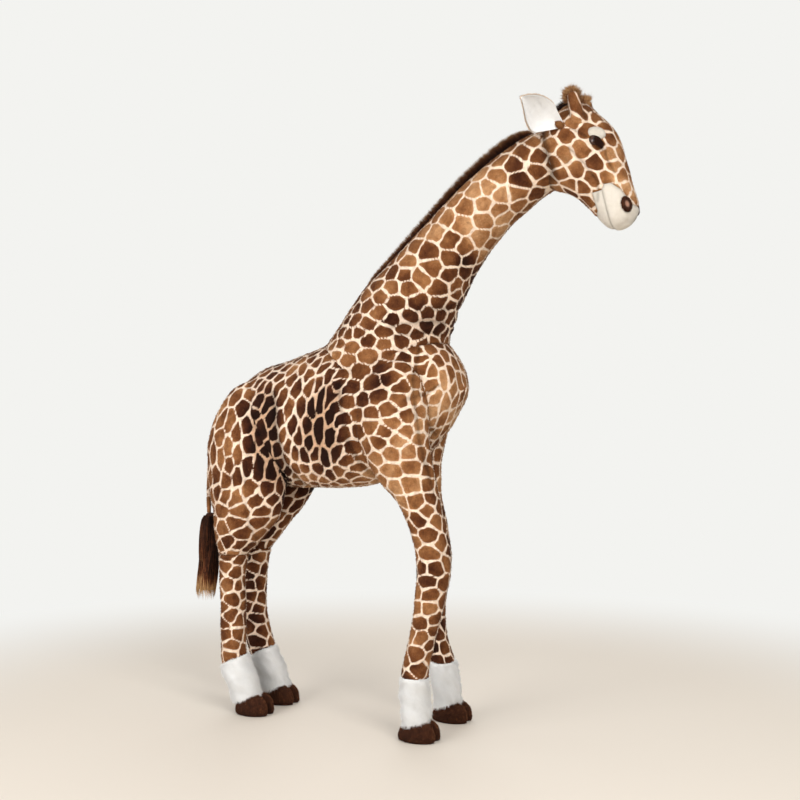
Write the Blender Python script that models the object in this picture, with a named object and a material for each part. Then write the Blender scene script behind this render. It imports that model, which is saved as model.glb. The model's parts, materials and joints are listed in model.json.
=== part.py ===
"""A tall stuffed toy giraffe, standing on its own four feet, as its sewn and wired pieces.

Lengths are metres. +X is the way the giraffe faces, +Y is its left side, +Z is up.
The origin lies on the floor, under the middle of the whole outline.
Sewn pieces are lofts through rings. A ring is held by two points of the side outline,
a half width across the body and how far it lies aside of the middle plane.
"""

import math

import bmesh
import bpy
import numpy as np
from mathutils import Matrix, Vector

# Clearances and counts

seam_gap = 0.0004
rod_clearance = 0.0005
skull_gap = 0.0008
knob_gap = 0.0008
wire_end_gap = 0.0020
cut_overrun = 0.010
merge_distance = 0.000001
torso_sides = 24
neck_sides = 20
limb_sides = 16
ball_sides = 14
skull_sides = 32
torso_rings = 18
neck_rings = 15
head_rings = 14
foreleg_rings = 15
thigh_rings = 11
shank_rings = 6
sock_rings = 5
ear_rings = 8
ear_columns = 7
mane_rings = 13
tuft_rings = 9
cord_rings = 8
small_sides = 10
rod_sides = 8

# Stance: the feet, measured from the point on the floor between all four

origin_ahead = 0.1268
wheelbase = 0.424
fore_track = 0.172
hind_track = 0.112

# Torso

belly_height = 0.511
torso_depth = 0.370
torso_length = 0.630
torso_width = 0.244
rump_behind = 0.345

# Neck and head

neck_base_height = 0.800
pivot_ahead = 0.474
pivot_height = 1.199
neck_width = 0.145
head_length = 0.200
head_width = 0.124
skull_ball_radius = 0.0575
neck_rim_behind = 0.014
head_start_ahead = 0.001

# Legs

foreleg_length = 0.800
hindleg_length = 0.750
leg_girth = 0.056
hock_height = 0.358
fore_sock_top = 0.128
hind_sock_top = 0.116
fore_sock_slope = 0.0
hind_sock_slope = 0.50
sock_pile = 0.003
hoof_length = 0.091
hoof_width = 0.068
hoof_height = 0.034
hoof_slope = 0.26
hoof_forward = 0.004
cleft_width = 0.006
cleft_depth = 0.034

# Steel frame

rod_radius = 0.004
rod_foot_height = 0.012
spine_height = 0.655
spine_behind = 0.225
spine_rise = 0.060
shoulder_ahead = 0.120
wire_ahead = 0.040

# Mane

mane_height = 0.019
mane_thickness = 0.016
mane_root_sink = 0.012

# Tail

tail_ball_radius = 0.0095
tail_root_proud = 0.009
tail_rise = 0.157
tail_cord_radius = 0.0055
tail_cord_length = 0.226
tail_cord_lean = 0.040
tail_knot_radius = 0.008
tuft_length = 0.208
tuft_radius = 0.026

# Face

eye_radius = 0.0125
eye_ahead = 0.104
eye_up = 0.022
eye_stem_radius = 0.003
eye_stem_length = 0.016
washer_radius = 0.008
washer_thickness = 0.0016
lid_thickness = 0.0035
lid_reach = 0.031
lash_thickness = 0.0012
lash_reach = 0.011
nostril_length = 0.033
nostril_width = 0.023
nostril_proud = 0.004
nostril_ahead = 0.171
nostril_up = -0.106
ossicone_ahead = 0.066
ossicone_up = 0.082
ossicone_spread = 0.084
ossicone_length = 0.020
ossicone_radius = 0.0135
tuft_cap_radius = 0.0180
tuft_cap_length = 0.032

# Ears

ear_length = 0.122
ear_width = 0.070
ear_thickness = 0.0035
ear_lining_thickness = 0.0030
ear_cup = 0.012
ear_knob_radius = 0.009
ear_root_ahead = 0.040
ear_root_up = 0.054
ear_root_aside = 0.058

# Outlines, as shares: along, low point, high point, half width
# Torso: x share of the length from the rump, z share of the depth from the belly

torso_shares = (
    (0.006, 0.205, 0.006, 0.330, 0.16),
    (0.022, 0.132, 0.030, 0.415, 0.45),
    (0.063, 0.065, 0.085, 0.545, 0.70),
    (0.135, 0.030, 0.155, 0.650, 0.86),
    (0.246, 0.008, 0.246, 0.735, 0.96),
    (0.373, 0.000, 0.373, 0.795, 0.99),
    (0.500, 0.003, 0.492, 0.868, 1.00),
    (0.627, 0.024, 0.595, 0.930, 1.00),
    (0.738, 0.078, 0.683, 0.984, 0.98),
    (0.825, 0.173, 0.754, 0.997, 0.90),
    (0.889, 0.281, 0.833, 0.957, 0.80),
    (0.937, 0.389, 0.915, 0.865, 0.66),
    (0.973, 0.497, 0.972, 0.735, 0.43),
    (0.990, 0.565, 0.990, 0.632, 0.15),
)

# Neck: x share of the pivot's reach, z share of the rise from the neck's base to the pivot

neck_shares = (
    (0.329, -0.256, -0.070, 0.080, 1.55),
    (0.482, 0.041, 0.098, 0.352, 1.45),
    (0.555, 0.255, 0.235, 0.502, 1.24),
    (0.650, 0.469, 0.413, 0.695, 1.10),
    (0.779, 0.653, 0.602, 0.896, 1.00),
    (0.913, 0.781, 0.776, 1.046, 0.92),
    (1.009, 0.851, 0.904, 1.124, 0.87),
    (1.060, 0.866, 0.992, 1.150, 0.86),
)

# Head: x and z from the pivot, as shares of the head's length

head_shares = (
    (0.011, -0.305, 0.000, 0.325, 0.95),
    (0.074, -0.322, 0.158, 0.505, 1.00),
    (0.150, -0.340, 0.370, 0.530, 1.00),
    (0.215, -0.370, 0.520, 0.388, 0.97),
    (0.287, -0.420, 0.678, 0.204, 0.89),
    (0.387, -0.515, 0.770, -0.052, 0.76),
    (0.480, -0.620, 0.845, -0.328, 0.66),
    (0.575, -0.715, 0.900, -0.517, 0.60),
    (0.645, -0.754, 0.879, -0.626, 0.47),
    (0.704, -0.769, 0.831, -0.710, 0.23),
)

# Legs: height and forward place as shares of the leg's length, half depth and half width
# as shares of its girth, place aside as a share of the half track

foreleg_right_shares = (
    (0.056, -0.005, 0.53, 0.52, 1.00),
    (0.156, -0.009, 0.50, 0.50, 0.99),
    (0.219, 0.001, 0.49, 0.49, 0.97),
    (0.269, 0.012, 0.49, 0.49, 0.94),
    (0.338, 0.027, 0.53, 0.52, 0.92),
    (0.388, 0.033, 0.58, 0.55, 0.90),
    (0.456, 0.040, 0.63, 0.59, 0.87),
    (0.538, 0.025, 0.67, 0.62, 0.87),
    (0.613, -0.002, 0.81, 0.71, 0.87),
    (0.663, -0.030, 1.08, 0.80, 0.90),
    (0.725, -0.056, 1.28, 0.89, 0.94),
    (0.800, -0.075, 1.46, 0.93, 0.99),
    (0.875, -0.077, 1.42, 0.89, 1.00),
    (0.950, -0.069, 1.05, 0.68, 0.98),
    (0.992, -0.062, 0.35, 0.25, 0.94),
)

foreleg_left_shares = (
    (0.056, -0.008, 0.53, 0.52, 1.00),
    (0.156, -0.025, 0.50, 0.50, 0.99),
    (0.219, -0.045, 0.49, 0.49, 0.97),
    (0.269, -0.052, 0.49, 0.49, 0.94),
    (0.338, -0.051, 0.53, 0.52, 0.92),
    (0.388, -0.047, 0.57, 0.55, 0.90),
    (0.456, -0.040, 0.63, 0.59, 0.87),
    (0.538, -0.054, 0.63, 0.62, 0.87),
    (0.613, -0.078, 0.74, 0.71, 0.87),
    (0.663, -0.096, 0.92, 0.80, 0.90),
    (0.725, -0.106, 1.10, 0.89, 0.94),
    (0.800, -0.103, 1.28, 0.93, 0.99),
    (0.875, -0.090, 1.34, 0.89, 1.00),
    (0.950, -0.072, 1.05, 0.68, 0.98),
    (0.992, -0.062, 0.35, 0.25, 0.94),
)

hindleg_right_shares = (
    (0.045, -0.020, 0.58, 0.56, 1.00),
    (0.100, -0.043, 0.57, 0.55, 1.00),
    (0.155, -0.067, 0.51, 0.51, 1.00),
    (0.240, -0.071, 0.50, 0.50, 1.01),
    (0.333, -0.071, 0.51, 0.51, 1.03),
    (0.420, -0.072, 0.53, 0.53, 1.05),
    (0.478, -0.066, 0.62, 0.60, 1.07),
    (0.510, -0.052, 0.88, 0.71, 1.12),
    (0.545, -0.036, 1.14, 0.80, 1.18),
    (0.600, -0.012, 1.45, 0.91, 1.25),
    (0.667, -0.006, 1.66, 1.00, 1.33),
    (0.747, -0.005, 1.68, 1.06, 1.40),
    (0.827, -0.010, 1.56, 1.05, 1.43),
    (0.907, -0.006, 1.22, 0.90, 1.38),
    (0.965, -0.004, 0.74, 0.58, 1.30),
    (0.992, -0.004, 0.26, 0.20, 1.25),
)

hindleg_left_shares = (
    (0.045, -0.012, 0.58, 0.56, 1.00),
    (0.100, -0.034, 0.57, 0.55, 1.00),
    (0.155, -0.060, 0.51, 0.51, 1.00),
    (0.240, -0.087, 0.50, 0.50, 1.01),
    (0.333, -0.096, 0.51, 0.51, 1.03),
    (0.420, -0.092, 0.53, 0.53, 1.05),
    (0.478, -0.086, 0.60, 0.58, 1.07),
    (0.510, -0.078, 0.80, 0.69, 1.12),
    (0.545, -0.066, 1.02, 0.78, 1.18),
    (0.600, -0.045, 1.34, 0.91, 1.25),
    (0.667, -0.022, 1.65, 1.00, 1.33),
    (0.747, -0.008, 1.70, 1.06, 1.40),
    (0.827, -0.010, 1.56, 1.05, 1.43),
    (0.907, -0.006, 1.22, 0.90, 1.38),
    (0.965, -0.004, 0.74, 0.58, 1.30),
    (0.992, -0.004, 0.26, 0.20, 1.25),
)

# Hoof: height share, half length share, half width share, forward share of its length

hoof_shares = (
    (0.00, 0.90, 0.92, 0.00),
    (0.14, 0.99, 1.00, 0.00),
    (0.45, 0.97, 0.98, -0.01),
    (0.75, 0.88, 0.93, -0.03),
    (1.00, 0.76, 0.88, -0.05),
)

# Tail tuft: share of the length down from the knot, share of the radius

tuft_shares = (
    (0.02, 0.55),
    (0.07, 0.85),
    (0.18, 1.00),
    (0.45, 0.97),
    (0.72, 0.92),
    (0.90, 0.74),
    (1.00, 0.30),
)

# Ear: share of the length, lower and upper edge as shares of the width, cup share

ear_shares = (
    (0.03, -0.10, 0.12, 0.15),
    (0.22, -0.32, 0.27, 0.70),
    (0.42, -0.59, 0.44, 1.00),
    (0.62, -0.54, 0.45, 0.90),
    (0.80, -0.33, 0.34, 0.60),
    (0.93, -0.14, 0.18, 0.25),
    (1.00, -0.03, 0.05, 0.05),
)

# Snout seams: side outlines of the upper lip and the lower jaw, as shares of the head's length

lip_shares = (
    (0.592, -0.385),
    (0.618, -0.330),
    (0.680, -0.323),
    (0.769, -0.385),
    (0.865, -0.530),
    (0.960, -0.570),
    (1.100, -0.900),
    (0.735, -1.090),
)
jaw_shares = (
    (0.489, -0.407),
    (0.592, -0.385),
    (0.735, -1.090),
    (0.450, -1.000),
    (0.450, -0.700),
    (0.525, -0.572),
)

# Mane: across as a share of its thickness, out as a share of its height or of its sunk root

mane_shares = (
    (-0.50, 0.0),
    (-0.42, 0.6),
    (-0.22, 1.0),
    (0.22, 1.0),
    (0.42, 0.6),
    (0.50, 0.0),
    (0.30, -1.0),
    (-0.30, -1.0),
)

# Where the mane runs on the neck's back line, as shares between the neck's stations

mane_start_share = 0.15
mane_end_share = 0.845

# Colours

patch_brown = (0.25, 0.115, 0.052)
sock_white = (0.86, 0.84, 0.80)
hoof_brown = (0.055, 0.024, 0.014)
muzzle_cream = (0.80, 0.74, 0.64)
eye_dark = (0.012, 0.008, 0.006)
steel_grey = (0.45, 0.46, 0.48)
washer_white = (0.75, 0.75, 0.72)


def clear_scene():
    for obj in list(bpy.data.objects):
        bpy.data.objects.remove(obj, do_unlink=True)


def material(name, colour, roughness, metallic=0.0):
    mat = bpy.data.materials.get(name) or bpy.data.materials.new(name)
    mat.use_nodes = True
    shader = mat.node_tree.nodes["Principled BSDF"]
    shader.inputs["Base Color"].default_value = (*colour, 1.0)
    shader.inputs["Roughness"].default_value = roughness
    shader.inputs["Metallic"].default_value = metallic
    return mat


def axis_point(name, place, parent):
    """An empty on a joint's axis. Pieces that move with the joint hang from it."""
    empty = bpy.data.objects.new(name, None)
    bpy.context.scene.collection.objects.link(empty)
    start = Vector((0.0, 0.0, 0.0)) if parent is None else Vector(parent["place"])
    empty.location = Vector(place) - start
    empty["place"] = tuple(place)
    empty.parent = parent
    return empty


def add_object(name, verts, faces, holder, mat=None, smooth=True):
    """A mesh object whose points are given in the giraffe's frame and kept from its holder."""
    place = np.array(holder["place"])
    mesh = bpy.data.meshes.new(name)
    mesh.from_pydata((np.asarray(verts) - place).tolist(), [], [list(f) for f in faces])
    shape = bmesh.new()
    shape.from_mesh(mesh)
    bmesh.ops.recalc_face_normals(shape, faces=shape.faces)
    bmesh.ops.triangulate(shape, faces=shape.faces)
    shape.to_mesh(mesh)
    shape.free()
    obj = bpy.data.objects.new(name, mesh)
    bpy.context.scene.collection.objects.link(obj)
    obj.parent = holder
    if mat:
        mesh.materials.append(mat)
    if smooth:
        mesh.shade_smooth()
        mesh.set_sharp_from_angle(angle=math.radians(50))
    return obj


def smooth_rows(rows, count):
    """Rows of numbers led through their points by a Catmull-Rom curve, at evenly spread counts."""
    rows = np.asarray(rows, float)
    padded = np.vstack([2 * rows[0] - rows[1], rows, 2 * rows[-1] - rows[-2]])
    places = np.linspace(0.0, len(rows) - 1.0, count)
    first = np.minimum(places.astype(int), len(rows) - 2)
    t = (places - first)[:, None]
    a, b, c, d = (padded[first + k] for k in range(4))
    return 0.5 * (2 * b + (c - a) * t + (2 * a - 5 * b + 4 * c - d) * t**2 + (3 * b - a - 3 * c + d) * t**3)


def loft(rings, leaf=False):
    """Vertices and faces of a closed skin through rings. An end is a fan about its middle point,
    or on a thin leaf a ladder of faces from the ring's first half to its second."""
    rings = np.asarray(rings, float)
    count, sides, _ = rings.shape
    verts = np.vstack([rings.reshape(-1, 3), rings[0].mean(0), rings[-1].mean(0)])
    faces = []
    for i in range(count - 1):
        for j in range(sides):
            k = (j + 1) % sides
            faces.append((i * sides + j, i * sides + k, (i + 1) * sides + k, (i + 1) * sides + j))
    last = (count - 1) * sides
    if leaf:
        for j in range(sides // 2 - 1):
            k = sides - 1 - j
            faces.append((j, j + 1, k - 1, k))
            faces.append((last + j, last + k, last + k - 1, last + j + 1))
        return verts[:-2], faces
    low_pole = count * sides
    high_pole = low_pole + 1
    for j in range(sides):
        k = (j + 1) % sides
        faces.append((low_pole, k, j))
        faces.append((high_pole, last + j, last + k))
    return verts, faces


def outline_rings(stations, sides):
    """Elliptical rings: stations hold low x, low z, high x, high z, half width and y."""
    stations = np.asarray(stations, float)
    turn = 2 * np.pi * np.arange(sides) / sides
    low_x, low_z, high_x, high_z, half_width, aside = stations.T[:, :, None]
    x = (low_x + high_x) / 2 + (high_x - low_x) / 2 * np.cos(turn)
    z = (low_z + high_z) / 2 + (high_z - low_z) / 2 * np.cos(turn)
    y = aside + half_width * np.sin(turn)
    return np.stack([x, y, z], axis=-1)


def hidden(obj):
    obj.hide_render = True
    obj.display_type = "WIRE"
    return obj


def cut(obj, cutter, operation="DIFFERENCE"):
    modifier = obj.modifiers.new("cut_by_" + cutter.name, "BOOLEAN")
    modifier.operation = operation
    modifier.object = cutter
    modifier.solver = "EXACT"


def grown_copy(obj, gap):
    """A hidden copy of a skin, swollen by the seam's gap, that cuts its smaller neighbours."""
    mesh = obj.data.copy()
    shape = bmesh.new()
    shape.from_mesh(mesh)
    shape.normal_update()
    for vert in shape.verts:
        vert.co += vert.normal * gap
    shape.to_mesh(mesh)
    shape.free()
    copy = bpy.data.objects.new(obj.name + "_space", mesh)
    bpy.context.scene.collection.objects.link(copy)
    copy.parent = obj.parent
    return hidden(copy)


def tube(name, path, radii, sides, holder, mat=None):
    """A round rod or channel along a path, with one radius for each of its points."""
    path = np.asarray(path, float)
    radii = np.broadcast_to(np.asarray(radii, float), len(path))
    tangents = np.gradient(path, axis=0)
    tangents /= np.linalg.norm(tangents, axis=1)[:, None]
    side = np.cross(tangents[0], (0.0, 0.31, 0.95))
    rings = []
    turn = 2 * np.pi * (np.arange(sides) + 0.5) / sides
    for centre, tangent, radius in zip(path, tangents, radii):
        side = side - tangent * (side @ tangent)
        side /= np.linalg.norm(side)
        up = np.cross(tangent, side)
        rings.append(centre + radius * (np.outer(np.cos(turn), side) + np.outer(np.sin(turn), up)))
    verts, faces = loft(rings)
    return add_object(name, verts, faces, holder, mat)


def ball(name, centre, radius, sides, holder, mat=None, stretch=(1.0, 1.0, 1.0), turn=None):
    """A ball, or an egg where it is stretched and turned."""
    shape = bmesh.new()
    bmesh.ops.create_uvsphere(shape, u_segments=sides, v_segments=sides // 2 + 1, radius=radius)
    spin = turn or Matrix.Identity(3)
    scale = Matrix.Diagonal(stretch)
    verts = [Vector(centre) + spin @ (scale @ v.co) for v in shape.verts]
    shape.verts.index_update()
    faces = [[v.index for v in f.verts] for f in shape.faces]
    shape.free()
    return add_object(name, verts, faces, holder, mat)


def block(name, centre, size, holder, turn=None):
    """A box that serves as a cutter."""
    corners = [(x, y, z) for x in (-1, 1) for y in (-1, 1) for z in (-1, 1)]
    spin = turn or Matrix.Identity(3)
    half = Vector(size) / 2
    verts = [Vector(centre) + spin @ Vector((x * half.x, y * half.y, z * half.z)) for x, y, z in corners]
    faces = [(0, 1, 3, 2), (4, 6, 7, 5), (0, 4, 5, 1), (2, 3, 7, 6), (0, 2, 6, 4), (1, 5, 7, 3)]
    return hidden(add_object(name, verts, faces, holder, smooth=False))


def torso_stations():
    rows = smooth_rows(torso_shares, torso_rings)
    x_low = rows[:, 0] * torso_length - rump_behind
    x_high = rows[:, 2] * torso_length - rump_behind
    z_low = belly_height + rows[:, 1] * torso_depth
    z_high = belly_height + rows[:, 3] * torso_depth
    return np.c_[x_low, z_low, x_high, z_high, rows[:, 4] * torso_width / 2, np.zeros(len(rows))]


def neck_stations(count):
    rows = smooth_rows(neck_shares, count)
    rise = pivot_height - neck_base_height
    x_low = rows[:, 0] * pivot_ahead
    x_high = rows[:, 2] * pivot_ahead
    z_low = neck_base_height + rows[:, 1] * rise
    z_high = neck_base_height + rows[:, 3] * rise
    return np.c_[x_low, z_low, x_high, z_high, rows[:, 4] * neck_width / 2, np.zeros(len(rows))]


def head_stations(count):
    rows = smooth_rows(head_shares, count)
    x_low = pivot_ahead + rows[:, 0] * head_length
    x_high = pivot_ahead + rows[:, 2] * head_length
    z_low = pivot_height + rows[:, 1] * head_length
    z_high = pivot_height + rows[:, 3] * head_length
    return np.c_[x_low, z_low, x_high, z_high, rows[:, 4] * head_width / 2, np.zeros(len(rows))]


class Leg:
    """One leg's course from the floor up: its middle, half depth and half width by height."""

    def __init__(self, shares, length, foot_ahead, track, side):
        rows = smooth_rows(shares, 60)
        self.heights = rows[:, 0] * length
        self.ahead = foot_ahead + rows[:, 1] * length
        self.half_depth = rows[:, 2] * leg_girth
        self.half_width = rows[:, 3] * leg_girth
        self.aside = side * rows[:, 4] * track / 2
        self.foot_ahead = foot_ahead
        self.side = side

    def at(self, heights):
        columns = (self.ahead, self.aside, self.half_depth, self.half_width)
        return [np.interp(heights, self.heights, column) for column in columns]

    def stations(self, heights, slopes, swell=0.0):
        """Rings at the given heights, each tipped up towards the front by its slope."""
        x, y, half_depth, half_width = self.at(heights)
        half_depth = half_depth + swell
        tip = slopes * half_depth
        return np.c_[x - half_depth, heights - tip, x + half_depth, heights + tip, half_width + swell, y]

    def middle(self, heights):
        x, y, _, _ = self.at(heights)
        return np.c_[x, y, heights]


def build_sleeve(name, leg, ends, count, holder, mat, swell=0.0):
    """The stretch of a leg between two heights, whose ends may slant up towards the front."""
    low, high, slope_low, slope_high = ends
    heights = np.linspace(low, high, count)
    slopes = np.linspace(slope_low, slope_high, count)
    verts, faces = loft(outline_rings(leg.stations(heights, slopes, swell), limb_sides))
    return add_object(name, verts, faces, holder, mat)


def build_hoof(name, leg, holder, mat):
    """A flat-soled hoof whose top slants up towards the front, with a cleft in the toe."""
    rows = np.array(hoof_shares)
    heights = rows[:, 0] * hoof_height
    slopes = rows[:, 0] * hoof_slope
    leg_x = float(leg.at(hoof_height)[0])
    x = leg.foot_ahead + hoof_forward + rows[:, 3] * hoof_length
    half_length = rows[:, 1] * hoof_length / 2
    half_width = rows[:, 2] * hoof_width / 2
    y = np.full(len(rows), leg.aside[0])
    back = x - half_length
    toe = x + half_length
    z_back = heights + slopes * (back - leg_x)
    z_toe = heights + slopes * (toe - leg_x)
    verts, faces = loft(outline_rings(np.c_[back, z_back, toe, z_toe, half_width, y], limb_sides))
    hoof = add_object(name, verts, faces, holder, mat)
    reach = hoof_height + hoof_slope * hoof_length
    centre = (toe[0] + cut_overrun - cleft_depth / 2, leg.aside[0], reach / 2)
    size = (cleft_depth + cut_overrun + cut_overrun, cleft_width, reach + reach)
    cleft = block(name + "_cleft", centre, size, holder)
    for vert in cleft.data.vertices:
        if vert.co.x + holder["place"][0] < centre[0]:
            vert.co.y = leg.aside[0] - holder["place"][1]
    bmesh_clean(cleft)
    cut(hoof, cleft)
    return hoof


def bmesh_clean(obj):
    """Merges points that have come together and drops the faces that this leaves without area."""
    shape = bmesh.new()
    shape.from_mesh(obj.data)
    bmesh.ops.remove_doubles(shape, verts=shape.verts, dist=merge_distance)
    shape.to_mesh(obj.data)
    shape.free()


def rod_course(leg, hip):
    """From inside the hoof up the middle of the leg, then inwards to the backbone rod."""
    top = leg.heights[-1] * 0.68
    heights = np.linspace(hoof_height, top, 8)
    up = leg.middle(heights)
    foot = np.array([[up[0][0], up[0][1], rod_foot_height]])
    end = np.array([[hip[0], leg.side * (rod_radius + seam_gap), hip[1]]])
    near_end = np.array([[hip[0], leg.side * rod_radius * 5, hip[1]]])
    return np.vstack([foot, up, (up[-1] + near_end) / 2, near_end, end])


def neck_back_line(start, end, count):
    """Points of the neck's back line between two shares of its length, with their outward way."""
    stations = neck_stations(200)
    places = np.linspace(start, end, count) * (len(stations) - 1)
    rows = np.array([np.interp(places, np.arange(len(stations)), column) for column in stations.T]).T
    back = np.c_[rows[:, 2], np.zeros(count), rows[:, 3]]
    along = np.gradient(back, axis=0)
    along /= np.linalg.norm(along, axis=1)[:, None]
    outward = np.cross(along, (0.0, 1.0, 0.0))
    outward *= np.sign(outward[:, 2:3])
    return back, outward


def build_mane(holder, mat):
    """A low crest along the back of the neck, as one plain solid."""
    back, outward = neck_back_line(mane_start_share, mane_end_share, mane_rings)
    ends = np.linspace(-1.0, 1.0, mane_rings)
    taper = np.sqrt(np.clip(1.0 - ends**6, 0.05, 1.0))
    rings = []
    for centre, out, size in zip(back, outward, taper):
        ring = []
        for side, rise in mane_shares:
            lift = rise * mane_height * size if rise > 0 else rise * mane_root_sink
            ring.append(centre + out * lift + np.array((0.0, side * mane_thickness, 0.0)))
        rings.append(ring)
    verts, faces = loft(rings)
    return add_object("mane", verts, faces, holder, mat)


def backbone_course():
    """From between the hips along the back, up the middle of the neck, to the head's ball."""
    neck = neck_stations(60)
    middle = np.c_[(neck[:, 0] + neck[:, 2]) / 2, np.zeros(60), (neck[:, 1] + neck[:, 3]) / 2]
    picks = middle[14:52:4]
    hip = (-spine_behind - rod_radius * 3, 0.0, spine_height)
    loin = (-spine_behind / 2, 0.0, spine_height + spine_rise / 3)
    chest = (shoulder_ahead / 3, 0.0, spine_height + spine_rise)
    end_x = pivot_ahead - skull_ball_radius - skull_gap - seam_gap
    before_end = (end_x - rod_radius * 5, 0.0, pivot_height - rod_radius / 2)
    picks = picks[picks[:, 0] > shoulder_ahead]
    picks = picks[picks[:, 0] < end_x - rod_radius * 8]
    corners = np.vstack([hip, loin, chest, picks, before_end, (end_x, 0.0, pivot_height)])
    return smooth_rows(corners, 20)


def spine_height_at(course, x):
    return float(np.interp(x, course[:, 0], course[:, 2]))


def channel(name, path, holder):
    """The hollow that a rod lies in: the rod's own course, wider by the clearance."""
    path = np.asarray(path, float)
    return hidden(tube(name + "_channel", path, rod_radius + rod_clearance, rod_sides, holder))


def tail_root():
    """The middle of the tail's ball, a little proud of the rump's own line at its height over the belly."""
    stations = torso_stations()
    rear = stations[: np.argmax(stations[:, 3])]
    height = belly_height + tail_rise
    return (float(np.interp(height, rear[:, 3], rear[:, 2])) - tail_root_proud, 0.0, height)


def build_tail(root, dock_axis, cord_axis, tuft_axis, torso, mats):
    centre = tail_root()
    dock = ball("tail_dock", centre, tail_ball_radius, ball_sides, dock_axis, mats["patch"])
    socket = hidden(ball("tail_socket", centre, tail_ball_radius + knob_gap, ball_sides, root))
    cut(torso, socket)
    down = np.linspace(0.0, 1.0, cord_rings)
    x = centre[0] - tail_cord_lean * (1.0 - (1.0 - down) ** 4)
    z = centre[2] - tail_cord_length * down
    path = np.c_[x, np.zeros(cord_rings), z]
    knot_centre = path[-1]
    cord = tube("tail_cord", path, tail_cord_radius, small_sides, cord_axis, mats["patch"])
    knot = hidden(ball("tail_knot", knot_centre, tail_knot_radius, ball_sides, cord_axis))
    cut(cord, knot, "UNION")
    cut(cord, hidden(ball("tail_cup", centre, tail_ball_radius + knob_gap, ball_sides, cord_axis)))
    rings = []
    turn = 2 * np.pi * np.arange(ball_sides) / ball_sides
    for share, radius in smooth_rows(tuft_shares, tuft_rings):
        drop = knot_centre[2] - share * tuft_length
        size = radius * tuft_radius
        x_ring = knot_centre[0] + size * np.cos(turn)
        rings.append(np.c_[x_ring, size * np.sin(turn), np.full(ball_sides, drop)])
    verts, faces = loft(rings)
    tuft = add_object("tail_tuft", verts, faces, tuft_axis, mats["dark_pile"])
    cup = ball("tuft_cup", knot_centre, tail_knot_radius + knob_gap, ball_sides, tuft_axis)
    cut(tuft, hidden(cup))
    return dock, cord, tuft


def head_surface(aside, ahead, up):
    """The head skin's point nearest to a place beside the middle plane, and the way it faces."""
    rings = outline_rings(head_stations(60), 96)
    along = np.gradient(rings, axis=0)
    around = np.roll(rings, -1, axis=1) - np.roll(rings, 1, axis=1)
    facing = np.cross(around, along)
    facing /= np.linalg.norm(facing, axis=2)[:, :, None]
    place = np.array((pivot_ahead + ahead, 0.0, pivot_height + up))
    gap = np.linalg.norm((rings - place)[:, :, [0, 2]], axis=2)
    gap = np.where(np.sign(rings[:, :, 1]) == np.sign(aside), gap, np.inf)
    best = np.unravel_index(np.argmin(gap), gap.shape)
    normal = facing[best]
    if normal[1] * aside < 0:
        normal = -normal
    return Vector(rings[best]), Vector(normal)


def turn_to(direction):
    return Vector((0.0, 0.0, 1.0)).rotation_difference(Vector(direction)).to_matrix()


def build_eye(side_name, side, head, head_skin, holder, mats):
    """A domed eye on a stem through the skin, its lock washer, a lid over it and its lashes."""
    surface, normal = head_surface(side, eye_ahead, eye_up)
    centre = surface - normal * eye_radius * 0.45
    dome = ball("eye_" + side_name, centre, eye_radius, ball_sides, holder, mats["eye"])
    stem_end = centre - normal * (eye_radius + eye_stem_length)
    stem_path = [centre - normal * eye_radius * 0.5, centre - normal * eye_radius, stem_end]
    stem = hidden(tube("eye_stem_" + side_name, stem_path, eye_stem_radius, rod_sides, holder))
    cut(dome, stem, "UNION")
    socket = ball("eye_socket_" + side_name, centre, eye_radius + seam_gap, ball_sides, holder)
    cut(head, hidden(socket))
    deep_end = stem_end - normal * cut_overrun / 4
    hole_path = [centre - normal * eye_radius * 0.5, deep_end]
    hole_radius = eye_stem_radius + rod_clearance
    cut(head, hidden(tube("stem_hole_" + side_name, hole_path, hole_radius, rod_sides, holder)))
    washer_middle = centre - normal * (eye_radius + eye_stem_length * 0.6)
    half = normal * washer_thickness / 2
    rim = [washer_middle - half, washer_middle + half]
    washer = tube("eye_washer_" + side_name, rim, washer_radius, small_sides, holder, mats["washer"])
    through = [washer_middle - half * 3, washer_middle + half * 3]
    hole = tube("washer_hole_" + side_name, through, hole_radius, rod_sides, holder)
    cut(washer, hidden(hole))
    pocket_half = half + normal * seam_gap
    pocket = [washer_middle - pocket_half, washer_middle + pocket_half]
    pocket_radius = washer_radius + seam_gap
    cut(head, hidden(tube("washer_pocket_" + side_name, pocket, pocket_radius, small_sides, holder)))
    build_lid(side_name, side, centre, normal, head_skin, socket, holder, mats)


def build_lid(side_name, side, centre, normal, head_skin, socket, holder, mats):
    """A white lid patch over the eye's upper half and a thin fan of lashes at the eye's edge."""
    up = Vector((0.30, 0.0, 0.95))
    up = (up - normal * up.dot(normal)).normalized()
    lid_centre = centre + up * eye_radius * 1.20 + normal * eye_radius * 0.30
    across = normal.cross(up)
    frame = Matrix((across, up, normal)).transposed()
    stretch = (lid_reach / lid_thickness * 0.62, lid_reach / lid_thickness * 0.42, 1.15)
    radius = lid_thickness
    lid = ball("eyelid_" + side_name, lid_centre, radius, ball_sides, holder, mats["white"], stretch, frame)
    lid_space = grown_copy(lid, seam_gap)
    cut(lid, head_skin)
    eye_space = ball("eye_space_" + side_name, centre, eye_radius + seam_gap, ball_sides, holder)
    cut(lid, hidden(eye_space))
    lash_centre = centre + normal * (eye_radius * 0.80) - up * eye_radius * 0.35
    lash_size = (lash_reach * 1.9, lash_thickness, lash_reach)
    tip = normal * lash_reach * 0.35
    lash = block("eyelashes_" + side_name, lash_centre + tip, lash_size, holder, frame)
    lash.hide_render = False
    lash.display_type = "TEXTURED"
    lash.data.materials.append(mats["eye"])
    cut(lash, hidden(ball("lash_eye_space_" + side_name, centre, eye_radius + seam_gap, ball_sides, holder)))
    cut(lash, head_skin)
    cut(lash, lid_space)


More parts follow.
